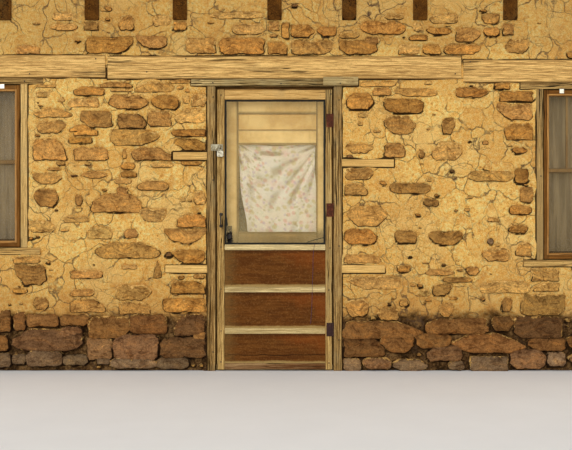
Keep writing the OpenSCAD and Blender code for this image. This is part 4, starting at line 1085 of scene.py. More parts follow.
def add_timbers(name, boxes, finish, body, slot, nodes=(), wear=0.0012, edge=0.0025, step=0.08, seed=1):
    """One piece of worn timbers, each with its own tone. Boxes may be the name of the node it is for."""
    if isinstance(boxes, str):
        boxes, nodes = solid_boxes(boxes), [boxes]
    chance = np.random.default_rng(seed)
    boards = []
    for k, (low, high) in enumerate(boxes):
        points, faces, grain, place = timber(low, high, seed + k, wear, edge, step)
        boards.append((points, faces, grain, place, np.full(len(points), chance.uniform(0, 1))))
    points, faces, grain, place, tone = joined(boards)
    return add_piece(name, points, faces, finish, body, slot, nodes, crease=35,
                     grain=grain, place=place, tone=tone)


def toned(colour, share):
    """A colour made darker or lighter."""
    return tuple(min(1, share * level) for level in colour)


def board_middle(finish):
    """How far in from a board's long edges a place is, as a product of its shares across the board."""
    _, across, through = finish.attribute("place").parts()
    return across * (1 - across) + through * (1 - through)


def wood_finish(name, pale, brown, grey, weathering, splits, knots=0.5, fibres=1.0, by_length=None):
    """Bare wood: its pale and brown grain, how grey it has gone, how split and knotty it is, and how
    much its fibres show. A CAD node's own solids take their grain along the axis by_length."""
    pale, brown, grey = paint(*pale), paint(*brown), paint(*grey)
    finish = Finish(name, rough=0.85, gloss=0.05)
    if by_length is None:
        grain, tone = finish.attribute("grain"), finish.attribute("tone", "Fac")
    else:
        parts = finish.local().parts()
        order = {k: parts[(by_length + k) % 3] for k in range(3)}
        grain = finish.nodes.node("CombineXYZ", {}, order)
        tone = grain.noise(0.8, 1)
    wave = grain.warp(grain.noise(3, 2, 0.5, "Color"), 0.015)
    band = wave.stretch((0.8, 15, 15)).noise(1, 4, 0.6)
    line = wave.stretch((1.6, 120, 120)).noise(1, 6, 0.78)
    hair = wave.stretch((7, 260, 260)).noise(1, 4, 0.7)
    split = (wave.stretch((0.7, 34, 34)).noise(1, 3, 0.5) - 0.5).math("ABSOLUTE").below(0.007, 0.024)
    split_kept = grain.stretch((1.6, 9, 9)).noise(1, 3, 0.5)
    split = split * split_kept.between(0.62 - 0.2 * splits, 0.67 - 0.2 * splits)
    patch = grain.noise(7, 6, 0.66)
    speck = grain.noise(110, 4, 0.75)
    knot_place = grain.stretch((3.4, 10, 10))
    knot_kept = knot_place.cells(1, "F1", "Color").parts()[0].between(0.72, 0.76)
    knot = knot_place.cells(1).below(0.05, 0.2) * knot_kept * knots
    mean = tuple((a + b) / 2 for a, b in zip(pale, brown))
    streaks = band * 0.35 + line * 0.65 * fibres + (1 - fibres) * 0.325
    finish.colour = streaks.ramp(
        (0.38, toned(brown, 0.4)), (0.45, brown), (0.52, mean), (0.59, toned(pale, 1.15)))
    finish.cover(hair.between(0.48, 0.6) * 0.6 * fibres, toned(brown, 0.55))
    finish.cover(hair.below(0.36, 0.46) * 0.5 * fibres, toned(pale, 1.3))
    finish.stain(patch + tone * 0.4 - 0.2, 0.75 - weathering, 1.05 - weathering, 0.85, grey)
    finish.cover(tone * 0.35, brown)
    finish.stain(speck, 0.56, 0.64, 0.55, toned(brown, 0.4))
    finish.cover(split * min(1, 0.5 + splits), toned(brown, 0.12))
    finish.cover(knot.clamped(), toned(brown, 0.3))
    # Painted shade: each board is darkened along its long edges, where it meets the parts beside it
    if by_length is None:
        finish.stain(board_middle(finish) + patch * 0.04, 0.085, 0.03, 0.6, toned(brown, 0.28))
    finish.bump(line * 0.6 + hair * 0.2 + band * 0.2 - split * 0.9 - knot * 0.3, 0.003)
    return finish


lintel_finish = wood_finish("lintel_timber", (230, 188, 116), (196, 150, 84), (176, 150, 102),
                            0.3, 0.35, 1.3, 1.5)
add_timbers("door_lintel_timbers", "door_lintel", lintel_finish, "house", "lintel_wood",
            wear=0.002, edge=0.004, seed=3)
add_timbers("window_lintel_timbers", "window_lintels", lintel_finish, "house", "lintel_wood",
            wear=0.002, edge=0.004, seed=11)


# Nailing blocks: short pieces of board laid in the mud beside the door, flush with the wall, so that
# its frame can be nailed to them.
block_finish = wood_finish("block_timber", (238, 198, 122), (214, 168, 96), (190, 158, 104),
                           0.1, 0.3, 0.2)
add_timbers("nailing_block_timbers", "nailing_blocks", block_finish, "house", "block_wood",
            wear=0.003, edge=0.003, seed=31)


# Door frame: upright jambs, a head board with a later board nailed over its right end, stop strips
# and a sill. The jambs are grey-tan with black splits along the grain.
STOP_T = 0.012
HEAD_STOP_H = 0.019
jamb_finish = wood_finish("jamb_timber", (200, 164, 102), (126, 92, 46), (154, 134, 92),
                          0.3, 0.95, 0.3, 1.5)
grey_finish = wood_finish("grey_timber", (214, 186, 126), (136, 108, 62), (172, 154, 108),
                          0.3, 1.1, 1.2, 1.5)
stop_finish = wood_finish("stop_timber", (160, 122, 70), (112, 78, 40), (120, 100, 66), 0.2, 0.4)
add_timbers("door_jamb_boards", "door_jambs", jamb_finish, "house", "frame_wood",
            wear=0.0022, edge=0.003, seed=45)
add_timbers("door_head_board", "door_head", grey_finish, "house", "grey_wood",
            wear=0.004, edge=0.004, seed=43)
add_timbers("door_head_patch_board", "door_head_patch", grey_finish, "house", "grey_wood",
            wear=0.0025, edge=0.002, seed=47)
stops_low, stops_high = (np.array(corner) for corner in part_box("door_stops"))
left, right = stops_low[0] + STOP_T, stops_high[0] - STOP_T
stop_boxes = [
    (stops_low, (left, *stops_high[1:])), ((right, *stops_low[1:]), stops_high),
    ((left, stops_low[1], stops_high[2] - HEAD_STOP_H), (right, *stops_high[1:])),
]
add_timbers("door_stop_strips", stop_boxes, stop_finish, "house", "dark_wood", ["door_stops"], seed=53)
add_timbers("door_sill_board", "door_sill", grey_finish, "house", "grey_wood",
            wear=0.003, edge=0.005, seed=59)


# Screen door: tan stiles and rails, three brown stained panels below the lock rail and wire cloth
# above it. The bottom rail has gone reddish brown, and the lowest panel has a crack along it.
CRACK_Z = 0.112
PANEL_STEP = 0.02
# How far each panel has bowed, from the lowest up
PANEL_BOWS = (0.001, -0.0012, -0.0012)
stile_finish = wood_finish("screen_door_timber", (220, 184, 116), (150, 114, 60),
                           (176, 152, 102), 0.25, 0.85, 0.4, 1.4)
top_rail_finish = wood_finish("top_rail_timber", (220, 180, 112), (176, 130, 66),
                              (184, 156, 104), 0.2, 0.6, 0.7, 0.9)
rail_finish = wood_finish("screen_rail_timber", (228, 206, 150), (184, 156, 102),
                          (190, 172, 126), 0.3, 0.1, 0.1, 1.1)
low_rail_finish = wood_finish("bottom_rail_timber", (172, 140, 96), (106, 66, 34),
                              (176, 156, 116), 0.2, 0.6, 0.1)
rail_boxes = sorted(solid_boxes("screen_door_rails"), key=lambda box: box[0][2])
add_timbers("screen_door_stile_boards", "screen_door_stiles", stile_finish, "screen_door", "frame_wood",
            wear=0.0015, seed=61)
add_timbers("screen_door_rail_boards", rail_boxes[1:-1], rail_finish, "screen_door", "frame_wood",
            ["screen_door_rails"], edge=0.004, seed=67)
add_timbers("screen_door_top_rail", rail_boxes[-1:], top_rail_finish, "screen_door", "frame_wood",
            edge=0.004, seed=69)
add_timbers("screen_door_bottom_rail", rail_boxes[:1], low_rail_finish, "screen_door", "frame_wood",
            wear=0.002, edge=0.004, seed=71)

panel_finish = Finish("stained_panel", paint(84, 46, 14), rough=0.75, gloss=0.06)
place = panel_finish.local()
streak = place.stretch((6, 6, 60)).noise(1, 6, 0.7)
fine_streak = place.stretch((40, 40, 210)).noise(1, 5, 0.7)
blot = place.noise(8, 7, 0.66)
right, _, rise = panel_finish.attribute("place").parts()
panel_finish.cover(streak.between(0.42, 0.6), paint(104, 62, 22))
for stain in (
        (right + rise * 0.8 + blot, 1.55, 2.0, 0.5, paint(132, 66, 20)),
        (blot + right * 0.12, 0.48, 0.34, 0.75, paint(58, 28, 6)),
        # Painted shadow along the top of each panel, under the rail above it
        (rise + blot * 0.2, 0.98, 1.06, 0.6, paint(50, 26, 8)),
        (right + streak * 0.3 + blot * 0.1, 0.36, 0.2, 0.35, paint(132, 104, 56)),
        (panel_finish.attribute("foot", "Fac") + blot * 0.6, 0.8, 1.1, 0.85, paint(168, 140, 84)),
        (fine_streak, 0.52, 0.64, 0.3, paint(50, 26, 8)),
        (place.noise(90, 5, 0.75), 0.5, 0.64, 0.28, paint(150, 106, 54))):
    panel_finish.stain(*stain)
crack = (place.parts()[2] - CRACK_Z + blot * 0.03 - 0.015).math("ABSOLUTE").below(0.0015, 0.0045)
panel_finish.cover(crack * streak.between(0.4, 0.5) * 0.85, paint(30, 12, 4))
panel_finish.bump(streak * 0.5 + fine_streak * 0.5, 0.0015)


def sheet_faces(columns, rows):
    """The faces between a sheet's columns and rows of points, and the points round its rim."""
    faces = [(a, a + rows, a + rows + 1, a + 1)
             for i in range(columns - 1) for a in range(i * rows, i * rows + rows - 1)]
    rim = [i * rows for i in range(columns)] + [(columns - 1) * rows + j for j in range(1, rows)]
    rim += [i * rows + rows - 1 for i in range(columns - 2, -1, -1)] + list(range(rows - 2, 0, -1))
    return faces, rim


def rim_faces(rim, count):
    """Faces from the points of a rim to those that come a count of points later."""
    return [(b, a, a + count, b + count) for a, b in zip(rim, rim[1:] + rim[:1])]


def sheet_of_board(low, high, bow, seed):
    """A thin board that has bowed a little, and where each of its points lies on its face."""
    size = high - low
    columns, rows = (max(2, round(size[axis] / PANEL_STEP)) + 1 for axis in (0, 2))
    s, t = np.meshgrid(np.linspace(0, 1, columns), np.linspace(0, 1, rows), indexing="ij")
    s, t = s.ravel(), t.ravel()
    swell = bow * 16 * s * (1 - s) * t * (1 - t)
    uneven = mottle(np.column_stack([s, t, s * 0 + seed]), 0.3, 15)
    swell += bow * 0.5 * uneven * np.minimum(1, 20 * s * (1 - s))
    x, z = low[0] + s * size[0], low[2] + t * size[2]
    front = np.column_stack([x, low[1] + swell, z])
    back = np.column_stack([x, high[1] + swell, z])
    faces, rim = sheet_faces(columns, rows)
    faces += [tuple(corner + len(x) for corner in face[::-1]) for face in faces]
    faces += rim_faces(rim, len(x))
    return np.vstack([front, back]), faces, np.tile(np.column_stack([s, s * 0, t]), (2, 1))


boards = []
for k, (low, high) in enumerate(sorted(solid_boxes("screen_door_panels"), key=lambda box: box[0][2])):
    points, faces, spot = sheet_of_board(low, high, PANEL_BOWS[k], k)
    foot = np.clip(1 - (points[:, 2] - low[2] - 0.006) / 0.03, 0, 1)
    boards.append((points, faces, spot, foot))
points, faces, spot, foot = joined(boards)
add_piece("screen_door_panel_boards", points, faces, panel_finish, "screen_door", "stained_wood",
          ["screen_door_panels"], place=spot, foot=foot)


# Wire cloth of the screen door: fine woven wire in the frame's upper part, hazy with dust, torn at its
# lower left corner and creased above the lock rail.
WIRE_STEP = 0.012
# The torn corner: from where to where it reaches along the wall, and up it
WIRE_TEAR = ((-0.3365, -0.3005), (0.903, 0.981))
WIRE_HEM = 0.015
# How close the weave is, in radians a metre
WIRE_TURNS = 3900
# Folded lines in the cloth, by pixels of the photograph: the crease, then those round the tear
WIRE_FOLDS = [
    ((307, 242), (324, 237.5)), ((226.5, 217), (227.5, 226)), ((227.5, 226), (231, 233)),
    ((227, 219), (226, 231)), ((231, 233), (233, 243)),
]


def wire_finish(name, colour, cover, marks=None):
    """Dusty woven wire: its colour, how much it hides, and where it is dark: a hem and folded lines."""
    finish = Finish(name, colour, rough=0.7, gloss=0.1)
    place = finish.local()
    x, y, z = place.parts()
    weave = ((x + y) * WIRE_TURNS).math("SINE").math("MAXIMUM", (z * WIRE_TURNS).math("SINE"))
    dust = place.noise(6, 5, 0.6)
    finish.cover(dust, toned(colour, 1.5))
    hidden = dust.between(0.2, 0.8) * 0.1 + (weave * 0.5 + 0.5) * 0.12 + (cover - 0.1)
    if marks:
        (left, foot), (right, top), hem, folds = marks
        waver = place.noise(30, 3) * 0.004
        dark = (x - left + waver).below(hem, hem + 0.003)
        for from_edge in (right - x + waver, z - foot + waver, top - z + waver):
            dark = dark + from_edge.below(hem, hem + 0.003)
        for (x0, z0), (x1, z1) in folds:
            length = math.hypot(x1 - x0, z1 - z0)
            way = ((x1 - x0) / length, (z1 - z0) / length)
            across = (x - x0) * way[1] - (z - z0) * way[0] + waver - 0.002
            along = (x - x0) * way[0] + (z - z0) * way[1]
            near = (across * across).below(0.000003, 0.00002)
            dark = dark + near * along.between(0, 0.004) * (length - along).between(0, 0.004)
        finish.cover(dark.clamped(), paint(40, 38, 32))
        hidden = hidden + dark * 0.85
    finish.shade(Alpha=hidden.clamped())
    return finish


def wire_cloth(low, high, step, hole=((), ()), crease=None, seed=0):
    """A thin sheet of wire cloth, slightly slack, with the faces inside the torn hole left out."""
    x = spaced([low[0], high[0], *hole[0]], step)
    z = spaced([low[2], high[2], *hole[1]], step)
    s, t = np.meshgrid(x, z, indexing="ij")
    edge = (s - low[0]) / (high[0] - low[0])
    edge = np.clip(12 * np.minimum(edge, 1 - edge), 0, 1)
    spread = np.column_stack([s.ravel(), s.ravel() * 0 + seed, t.ravel()])
    slack = 0.0015 * mottle(spread, 0.12, 16).reshape(s.shape) * edge
    if crease:
        (x0, z0), (x1, z1) = crease
        way = np.array([x1 - x0, z1 - z0])
        across = ((s - x0) * way[1] - (t - z0) * way[0]) / np.hypot(*way)
        along = ((s - x0) * way[0] + (t - z0) * way[1]) / (way @ way)
        slack -= 0.004 * np.exp(-(across / 0.01) ** 2) * ((along > -0.1) & (along < 1.1))
    y = np.full(s.shape, (low[1] + high[1]) / 2) + slack
    points = np.stack([s, y, t], axis=-1)
    faces = sheet_faces(len(x), len(z))[0]
    if hole[0]:
        torn = (s >= hole[0][0] - 1e-5) & (s <= hole[0][1] + 1e-5)
        torn &= (t >= hole[1][0] - 1e-5) & (t <= hole[1][1] + 1e-5)
        faces = [face for face in faces if not torn.ravel()[list(face)].all()]
        chance = np.random.default_rng(5)
        frays = [chance.uniform(least, most, torn.sum())
                 for least, most in ((-0.003, 0.003), (-0.004, 0.001), (-0.003, 0.003))]
        points[torn] += np.stack(frays, axis=1)
    return points.reshape(-1, 3), faces


wire_low, wire_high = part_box("screen_door_wire")
folds = [(photo_place(*start), photo_place(*end)) for start, end in WIRE_FOLDS]
stile_ends = sorted((low[0], high[0]) for low, high in solid_boxes("screen_door_stiles"))
opening = [(stile_ends[0][1], rail_boxes[-2][1][2]), (stile_ends[-1][0], rail_boxes[-1][0][2])]
door_wire_finish = wire_finish("door_wire_cloth", paint(218, 188, 128), 0.15, (*opening, WIRE_HEM, folds))
points, faces = wire_cloth(wire_low, wire_high, WIRE_STEP, WIRE_TEAR, folds[0])
used, faces = only_used(faces)
add_piece("screen_door_wire_cloth", points[used], faces, door_wire_finish, "screen_door", "wire_cloth",
          ["screen_door_wire"])


# Hinges, pull, hasp and padlock: rusted strap-iron butt hinges and a bent pull, screwed on, and a
# galvanised hasp that a small steel padlock goes through.
def metal_finish(name, bare, rust, rusted, shine, rough, dark_below=-1):
    """Worn metal: its bare colour, its rust, how much of that, and the height it is black below."""
    bare, rust = paint(*bare), paint(*rust)
    finish = Finish(name, bare, gloss=0.4, Metallic=shine)
    place = finish.local()
    patch = place.noise(60, 5, 0.65)
    pits = place.noise(420, 4, 0.6)
    share = (patch + pits * 0.25).between(1.0 - rusted, 1.25 - rusted)
    finish.cover(share, rust)
    finish.stain(pits, 0.55, 0.75, 0.5, toned(rust, 0.4))
    finish.stain(place.parts()[2], dark_below + 0.02, dark_below - 0.02, 0.8, paint(44, 30, 30))
    finish.shade(Roughness=(share * 0.3 + rough).clamped())
    finish.bump(patch * 0.5 + pits * 0.5, 0.0009)
    return finish


def dress(node, finish):
    """Gives a CAD node that stays a finish."""
    for material_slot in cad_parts[node].material_slots:
        material_slot.material = finish.material


rusty_finish = metal_finish("rusty_iron", (126, 60, 26), (72, 34, 16), 0.6, 0.0, 0.75, 0.6)
worn_iron_finish = metal_finish("worn_iron", (92, 84, 70), (60, 44, 30), 0.5, 0.6, 0.45)
black_iron_finish = metal_finish("black_iron", (34, 30, 26), (52, 34, 22), 0.4, 0.4, 0.5)
zinc_finish = metal_finish("zinc_plate", (184, 178, 150), (124, 110, 80), 0.5, 0.35, 0.4)
steel_finish = metal_finish("padlock_steel", (158, 152, 132), (92, 78, 56), 0.4, 0.75, 0.3)
dress("screen_door_hinges", rusty_finish)
dress("jamb_hinge_leaves", rusty_finish)
dress("front_door_hinges", worn_iron_finish)
dress("screen_door_pull", black_iron_finish)
dress("hasp", zinc_finish)
dress("padlock", steel_finish)
dress("front_door_knobs", black_iron_finish)


# Nails: round iron heads driven into the lintels, the head board, the casings and the screen door's
# joints. Their places are columns and rows of the photograph.
NAIL_R = 0.005
NAIL_SIDES = 8
HOUSE_NAILS = [
    (96, 59), (186, 59), (147, 72), (30, 74), (213, 83), (281, 84), (340, 84), (24.5, 81), (213, 97),
    (213, 180), (213, 352), (339, 100), (339, 246), (339, 340), (540, 90), (541, 176), (470, 62), (455, 74),
]
DOOR_NAILS = [
    (221, 95), (331, 94), (221, 247), (330, 248), (221, 289), (329, 290), (221, 331), (221, 362), (329, 363),
]
HOUSE_BOARDS = [
    "door_lintel", "window_lintels", "door_head", "door_head_patch", "door_jambs", "window_jambs",
    "window_heads",
]


def nail_heads(marks, nodes):
    """Round heads on the front-most faces of boards, as one mesh."""
    turns = np.arange(NAIL_SIDES) * 2 * math.pi / NAIL_SIDES
    faces = [(start + k, start + (k + 1) % NAIL_SIDES, start + NAIL_SIDES + (k + 1) % NAIL_SIDES,
              start + NAIL_SIDES + k) for start in (0, NAIL_SIDES) for k in range(NAIL_SIDES)]
    faces.append(range(2 * NAIL_SIDES, 3 * NAIL_SIDES))
    boxes = [box for node in nodes for box in solid_boxes(node)]
    heads = []
    for mark in marks:
        x, z = photo_place(*mark)
        fronts = [low[1] for low, high in boxes if low[0] < x < high[0] and low[2] < z < high[2]]
        if fronts:
            rings = [(x + radius * np.cos(turns), np.full(NAIL_SIDES, min(fronts) + depth),
                      z + radius * np.sin(turns))
                     for depth, radius in ((0.003, NAIL_R), (0, NAIL_R), (-0.0009, 0.7 * NAIL_R))]
            heads.append((np.hstack(rings).T, faces))
    return joined(heads)


add_piece("house_nails", *nail_heads(HOUSE_NAILS, HOUSE_BOARDS), black_iron_finish, "house", "black_iron")
add_piece("screen_door_nails", *nail_heads(DOOR_NAILS, ["screen_door_stiles", "screen_door_rails"]),
          black_iron_finish, "screen_door", "black_iron")


# Front door behind the screen: a panelled and glazed door in old cream paint, darker in its lower half and
# with painted shade along its boards' edges, hung on butt hinges and closing on the same frame's stops.
def paint_finish(name, coat, dirty, bare, worn_share, shaded_edges=True):
    """Old paint: its coat, its dirt, the wood under it, how much has chipped, and painted shade at board
    edges.
    """
    coat, dirty, bare = paint(*coat), paint(*dirty), paint(*bare)
    finish = Finish(name, coat, rough=0.6, gloss=0.15)
    place = finish.local()
    dirt = place.noise(5, 6, 0.6)
    streak = place.stretch((30, 30, 5)).noise(1, 5, 0.65)
    chips = place.noise(34, 5, 0.7)
    finish.cover(dirt.between(0.35, 0.7), dirty)
    # Darker below about a metre
    finish.stain(place.parts()[2] + dirt * 0.1, 1.08, 1.0, 0.85, toned(dirty, 0.22))
    finish.stain(streak, 0.5, 0.8, 0.4, toned(dirty, 0.8))
    chipped = (chips + dirt * 0.3).between(0.95 - worn_share, 1.0 - worn_share)
    finish.cover(chipped * 0.8, bare)
    # Painted shade along the boards' edges, made uneven by the chips' noise
    if shaded_edges:
        edge_shade = board_middle(finish).below(0.03, 0.1 + worn_share * 0.4)
        finish.cover(edge_shade * (chips + 0.5).clamped(), toned(dirty, 0.22))
    finish.bump(streak * 0.4 + chips * 0.2 - chipped * 0.6, 0.0012)
    return finish


cream_finish = paint_finish("cream_paint", (242, 208, 136), (206, 164, 92), (150, 106, 54), 0.1)
add_timbers("front_door_stile_boards", "front_door_stiles", cream_finish, "front_door", "cream_paint",
            wear=0.0008, seed=81)
add_timbers("front_door_rail_boards", "front_door_rails", cream_finish, "front_door", "cream_paint",
            wear=0.0008, seed=83)
dress("front_door_panels", paint_finish("cream_panel_paint", (236, 200, 126), (204, 160, 90),
                                        (156, 112, 58), 0.12, shaded_edges=False))

glass_finish = Finish("old_glass", gloss=0.6, Base_Color=paint(150, 142, 118))
haze = glass_finish.local().noise(4, 6, 0.6)
glass_finish.shade(Alpha=(haze.between(0.3, 0.8) * 0.07 + 0.04).clamped(),
                   Roughness=(haze * 0.15 + 0.03).clamped())
dress("front_door_glass", glass_finish)
dress("window_panes", glass_finish)


# Flowered cloth: thin cotton, hung from the upper corners of the front door's glass, so that it sags in a
# swag along its top and its folds run down from the right corner. It carries small faded flowers, and its
# fold hollows are painted darker as shade.
CLOTH_STEP = 0.006
CLOTH_DEPTH = 0.022
cloth_low, cloth_high = (np.array(corner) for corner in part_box("front_door_curtain"))
cloth_high[1] = cloth_low[1] + CLOTH_DEPTH


def cloth_folds(u, v):
    """How far the cloth stands from its middle, from -1 to 1. u runs right and v down, in metres."""
    right = cloth_high[0] - cloth_low[0]
    ray = np.arctan2(v + 0.02, right - u + 0.04)
    reach = np.hypot(v, right - u)
    spread_out = np.exp(-((reach - 0.3) / 0.3) ** 2) * np.clip(reach / 0.1, 0, 1)
    rays = np.sin(ray * 25 + 1.5 * np.sin(ray * 6)) * spread_out
    left_ray = np.arctan2(v + 0.02, u + 0.02)
    left = 0.9 * np.sin(left_ray * 21 + 0.6) * np.exp(-(np.hypot(u, v) / 0.32) ** 2)
    hang = np.sin(u * 40 + 1.2 * np.sin(v * 4) + v * 5) * np.clip(v / 0.5, 0, 1) * 0.5
    droop = v - 0.02 - 0.075 * np.sin(math.pi * u / right)
    swag = 1.0 * np.cos(droop * 95) * np.exp(-(droop / 0.045) ** 2)
    return np.clip(rays + left + hang + swag, -1.6, 1.6) / 1.6


def door_cloth_outline(s, t):
    """How far the cloth's left, right, upper and lower edges lie inside its box."""
    left = 0.012 + 0.075 * t ** 1.2 + 0.006 * np.sin(t * 9)
    right = 0.022 + 0.012 * np.sin(t * 5 + 0.5)
    top = 0.012 + 0.02 * np.sin(math.pi * s) ** 2
    return left, right, top, 0.004 + 0.006 * np.sin(s * 7)


def hanging_cloth(low, high, step, folds, outline):
    """A cloth in the place of a CAD node: a grid whose points follow the folds and the outline."""
    wide, tall = high[0] - low[0], high[2] - low[2]
    columns, rows = round(wide / step) + 1, round(tall / step) + 1
    s, t = np.meshgrid(np.linspace(0, 1, columns), np.linspace(0, 1, rows), indexing="ij")
    left, right, top, foot = outline(s, t)
    x = low[0] + left + s * (wide - left - right)
    z = high[2] - top - t * (tall - top - foot)
    y = (low[1] + high[1]) / 2 + (high[1] - low[1]) / 2 * folds(x - low[0], high[2] - z)
    points = np.stack([x, y, z], axis=-1)
    faces = [(face[0], *face[:0:-1]) for face in sheet_faces(columns, rows)[0]]
    return points.reshape(-1, 3), faces, points


def laid_out(grid):
    """Where each point of a hung cloth lies once it is laid flat, in metres."""
    along = np.linalg.norm(np.diff(grid, axis=0), axis=2).cumsum(axis=0)
    down = np.linalg.norm(np.diff(grid, axis=1), axis=2).cumsum(axis=1)
    return np.pad(along, ((1, 0), (0, 0))), np.pad(down, ((0, 0), (1, 0)))


flower_finish = Finish("flowered_cotton", paint(255, 250, 228), rough=0.9, gloss=0.08)
place = flower_finish.attribute("cloth")
flower_finish.cover(place.noise(5, 5, 0.6).between(0.35, 0.7), paint(255, 242, 212))
for scale, colour in ((9, paint(255, 214, 204)), (11, paint(228, 236, 204))):
    flower_finish.stain(place.noise(scale, 3, 0.6), 0.5, 0.68, 0.6, colour)
petals = place.warp(place.noise(60, 3, 0.6, "Color"), 0.012)
for scale, keep, size, colour in (
        (24, 0.5, 0.5, paint(240, 168, 148)), (21, 0.5, 0.5, paint(214, 196, 116)),
        (28, 0.6, 0.42, paint(206, 182, 204)), (34, 0.5, 0.4, paint(186, 180, 112))):
    shifted = petals.stretch((1, 1, 1), (scale * 0.37, 0, scale * 0.21))
    kept = shifted.cells(scale, "F1", "Color").parts()[1].between(keep, keep + 0.05)
    flower_finish.cover(shifted.cells(scale).below(size * 0.5, size) * kept * 0.6, colour)
thread = place.stretch((900, 1, 900)).noise(1, 2)
flower_finish.cover(thread * 0.2, paint(204, 182, 142))
# Painted shade: the deeper into a fold a place lies, the darker it is painted
fold_shade = flower_finish.attribute("fold", "Fac")
flower_finish.stain(fold_shade, 0.5, 0.92, 0.85, (0.46, 0.42, 0.32), "MULTIPLY")
flower_finish.bump(thread, 0.0004)

points, faces, grid = hanging_cloth(cloth_low, cloth_high, CLOTH_STEP, cloth_folds, door_cloth_outline)
along, down = laid_out(grid)
door_cloth = add_piece("door_curtain_cloth", points, faces, flower_finish, "front_door",
                       "flowered_cloth", ["front_door_curtain"], crease=180,
                       cloth=np.stack([along, along * 0, down], axis=-1).reshape(-1, 3),
                       fold=(points[:, 1] - cloth_low[1]) / CLOTH_DEPTH)


# Windows: weathered casings with horned head and sill boards, a screen hung on two hangers outside,
# and behind it an upper sash with three upright bars over a plain lower sash.
SCREEN_STILE = 0.034
SCREEN_RAIL = 0.042
SCREEN_PLAY = 0.006
# The pale beads that hold the wire: how wide, and how far they stand out of the screen's frame
BEAD_W = 0.013
BEAD_OUT = 0.003
SASH_STILE = 0.038
SASH_TOP = 0.045
MEETING_RAIL = 0.03
SASH_FOOT = 0.06
SASH_BAR = (0.016, 0.013)
SASH_BARS = 3
# Between these places along the wall starts the one casing board that is paler than the others
PALE_BOARD = (-1.8, -1.7)
WINDOW_WIRE_STEP = 0.04
casing_finish = wood_finish("casing_timber", (200, 164, 100), (140, 106, 58), (164, 138, 90),
                            0.3, 0.85, 0.3, 1.4)
pale_casing_finish = wood_finish("pale_casing_timber", (230, 192, 122), (180, 142, 82),
                                 (188, 160, 106), 0.25, 0.6, 0.3, 1.4)
screen_finish = wood_finish("screen_timber", (138, 92, 40), (100, 62, 24), (128, 96, 54),
                            0.25, 0.35, 0.3)
bead_finish = wood_finish("screen_bead_timber", (200, 150, 86), (160, 110, 54), (178, 140, 88),
                          0.2, 0.3, 0.3)
sash_finish = paint_finish("sash_paint", (160, 126, 74), (124, 90, 48), (92, 66, 36), 0.12)
sill_finish = wood_finish("sill_timber", (222, 184, 114), (170, 130, 70), (176, 150, 100),
                          0.2, 0.7, 0.3, by_length=0)

casings, pale_casings = [], []
for low, high in solid_boxes("window_jambs"):
    is_pale = low[1] < front_y + 0.2 and PALE_BOARD[0] < low[0] < PALE_BOARD[1]
    (pale_casings if is_pale else casings).append((low, high))
add_timbers("window_jamb_boards", casings, casing_finish, "house", "frame_wood", ["window_jambs"],
            wear=0.0018, seed=91)
add_timbers("pale_window_jamb_board", pale_casings, pale_casing_finish, "house", "frame_wood",
            wear=0.0018, seed=97)
add_timbers("window_head_boards", "window_heads", casing_finish, "house", "frame_wood",
            wear=0.0018, seed=113)
dress("window_sills", sill_finish)


def frame_boards(low, high, stile, head, foot, bars=0):
    """The stiles, rails and bars of an upright frame, as boxes."""
    axis = 0 if high[0] - low[0] > high[1] - low[1] else 1

    def box(start, end, z0, z1, inset=0.0):
        first, last = np.array(low, dtype=float), np.array(high, dtype=float)
        first[axis], last[axis], first[2], last[2] = start, end, z0, z1
        first[1 - axis] += inset
        last[1 - axis] -= inset
        return first, last

    left, right = low[axis], high[axis]
    inner_left, inner_right = left + stile, right - stile
    boards = [
        box(left, inner_left, low[2], high[2]), box(inner_right, right, low[2], high[2]),
        box(inner_left, inner_right, low[2], low[2] + foot),
        box(inner_left, inner_right, high[2] - head, high[2]),
    ]
    inset = (high[1 - axis] - low[1 - axis] - SASH_BAR[1]) / 2
    for k in range(bars):
        middle = inner_left + (right - left - 2 * stile) * (k + 1) / (bars + 1)
        start, end = middle - SASH_BAR[0] / 2, middle + SASH_BAR[0] / 2
        boards.append(box(start, end, low[2] + foot, high[2] - head, inset))
    return boards


screens, beads, upper, lower = [], [], [], []
for low, high in solid_boxes("window_screens"):
    wide = high - low > 0.5
    play = SCREEN_PLAY * wide
    screens += frame_boards(low + play, high - play, SCREEN_STILE, SCREEN_RAIL, SCREEN_RAIL)
    inset = wide * (SCREEN_PLAY + SCREEN_STILE - BEAD_W) + (SCREEN_RAIL - SCREEN_STILE) * np.array([0, 0, 1])
    inset -= BEAD_OUT * (1 - wide)
    beads += frame_boards(low + inset, high - inset, BEAD_W, BEAD_W, BEAD_W)
for low, high in solid_boxes("upper_sashes"):
    upper += frame_boards(low, high, SASH_STILE, SASH_TOP, MEETING_RAIL, SASH_BARS)
for low, high in solid_boxes("lower_sashes"):
    lower += frame_boards(low, high, SASH_STILE, MEETING_RAIL, SASH_FOOT)
add_timbers("window_screen_boards", screens, screen_finish, "house", "orange_wood", ["window_screens"],
            wear=0.001, edge=0.002, seed=121)
add_timbers("window_screen_beads", beads, bead_finish, "house", "orange_wood",
            wear=0.0005, edge=0.001, step=0.15, seed=141)
add_timbers("upper_sash_boards", upper, sash_finish, "house", "orange_wood", ["upper_sashes"],
            wear=0.0006, edge=0.0015, step=0.15, seed=151)
add_timbers("lower_sash_boards", lower, sash_finish, "house", "orange_wood", ["lower_sashes"],
            wear=0.0006, edge=0.0015, step=0.15, seed=191)

window_wire_finish = wire_finish("window_wire_cloth", paint(116, 98, 66), 0.2)


def turned_grid(low, high, make):
    """Makes a sheet as if its wall were the front one, and turns it where the wall runs along y."""
    if high[0] - low[0] > high[1] - low[1]:
        return make(low, high)
    points, *rest = make(low[[1, 0, 2]], high[[1, 0, 2]])
    return points[:, [1, 0, 2]], *rest


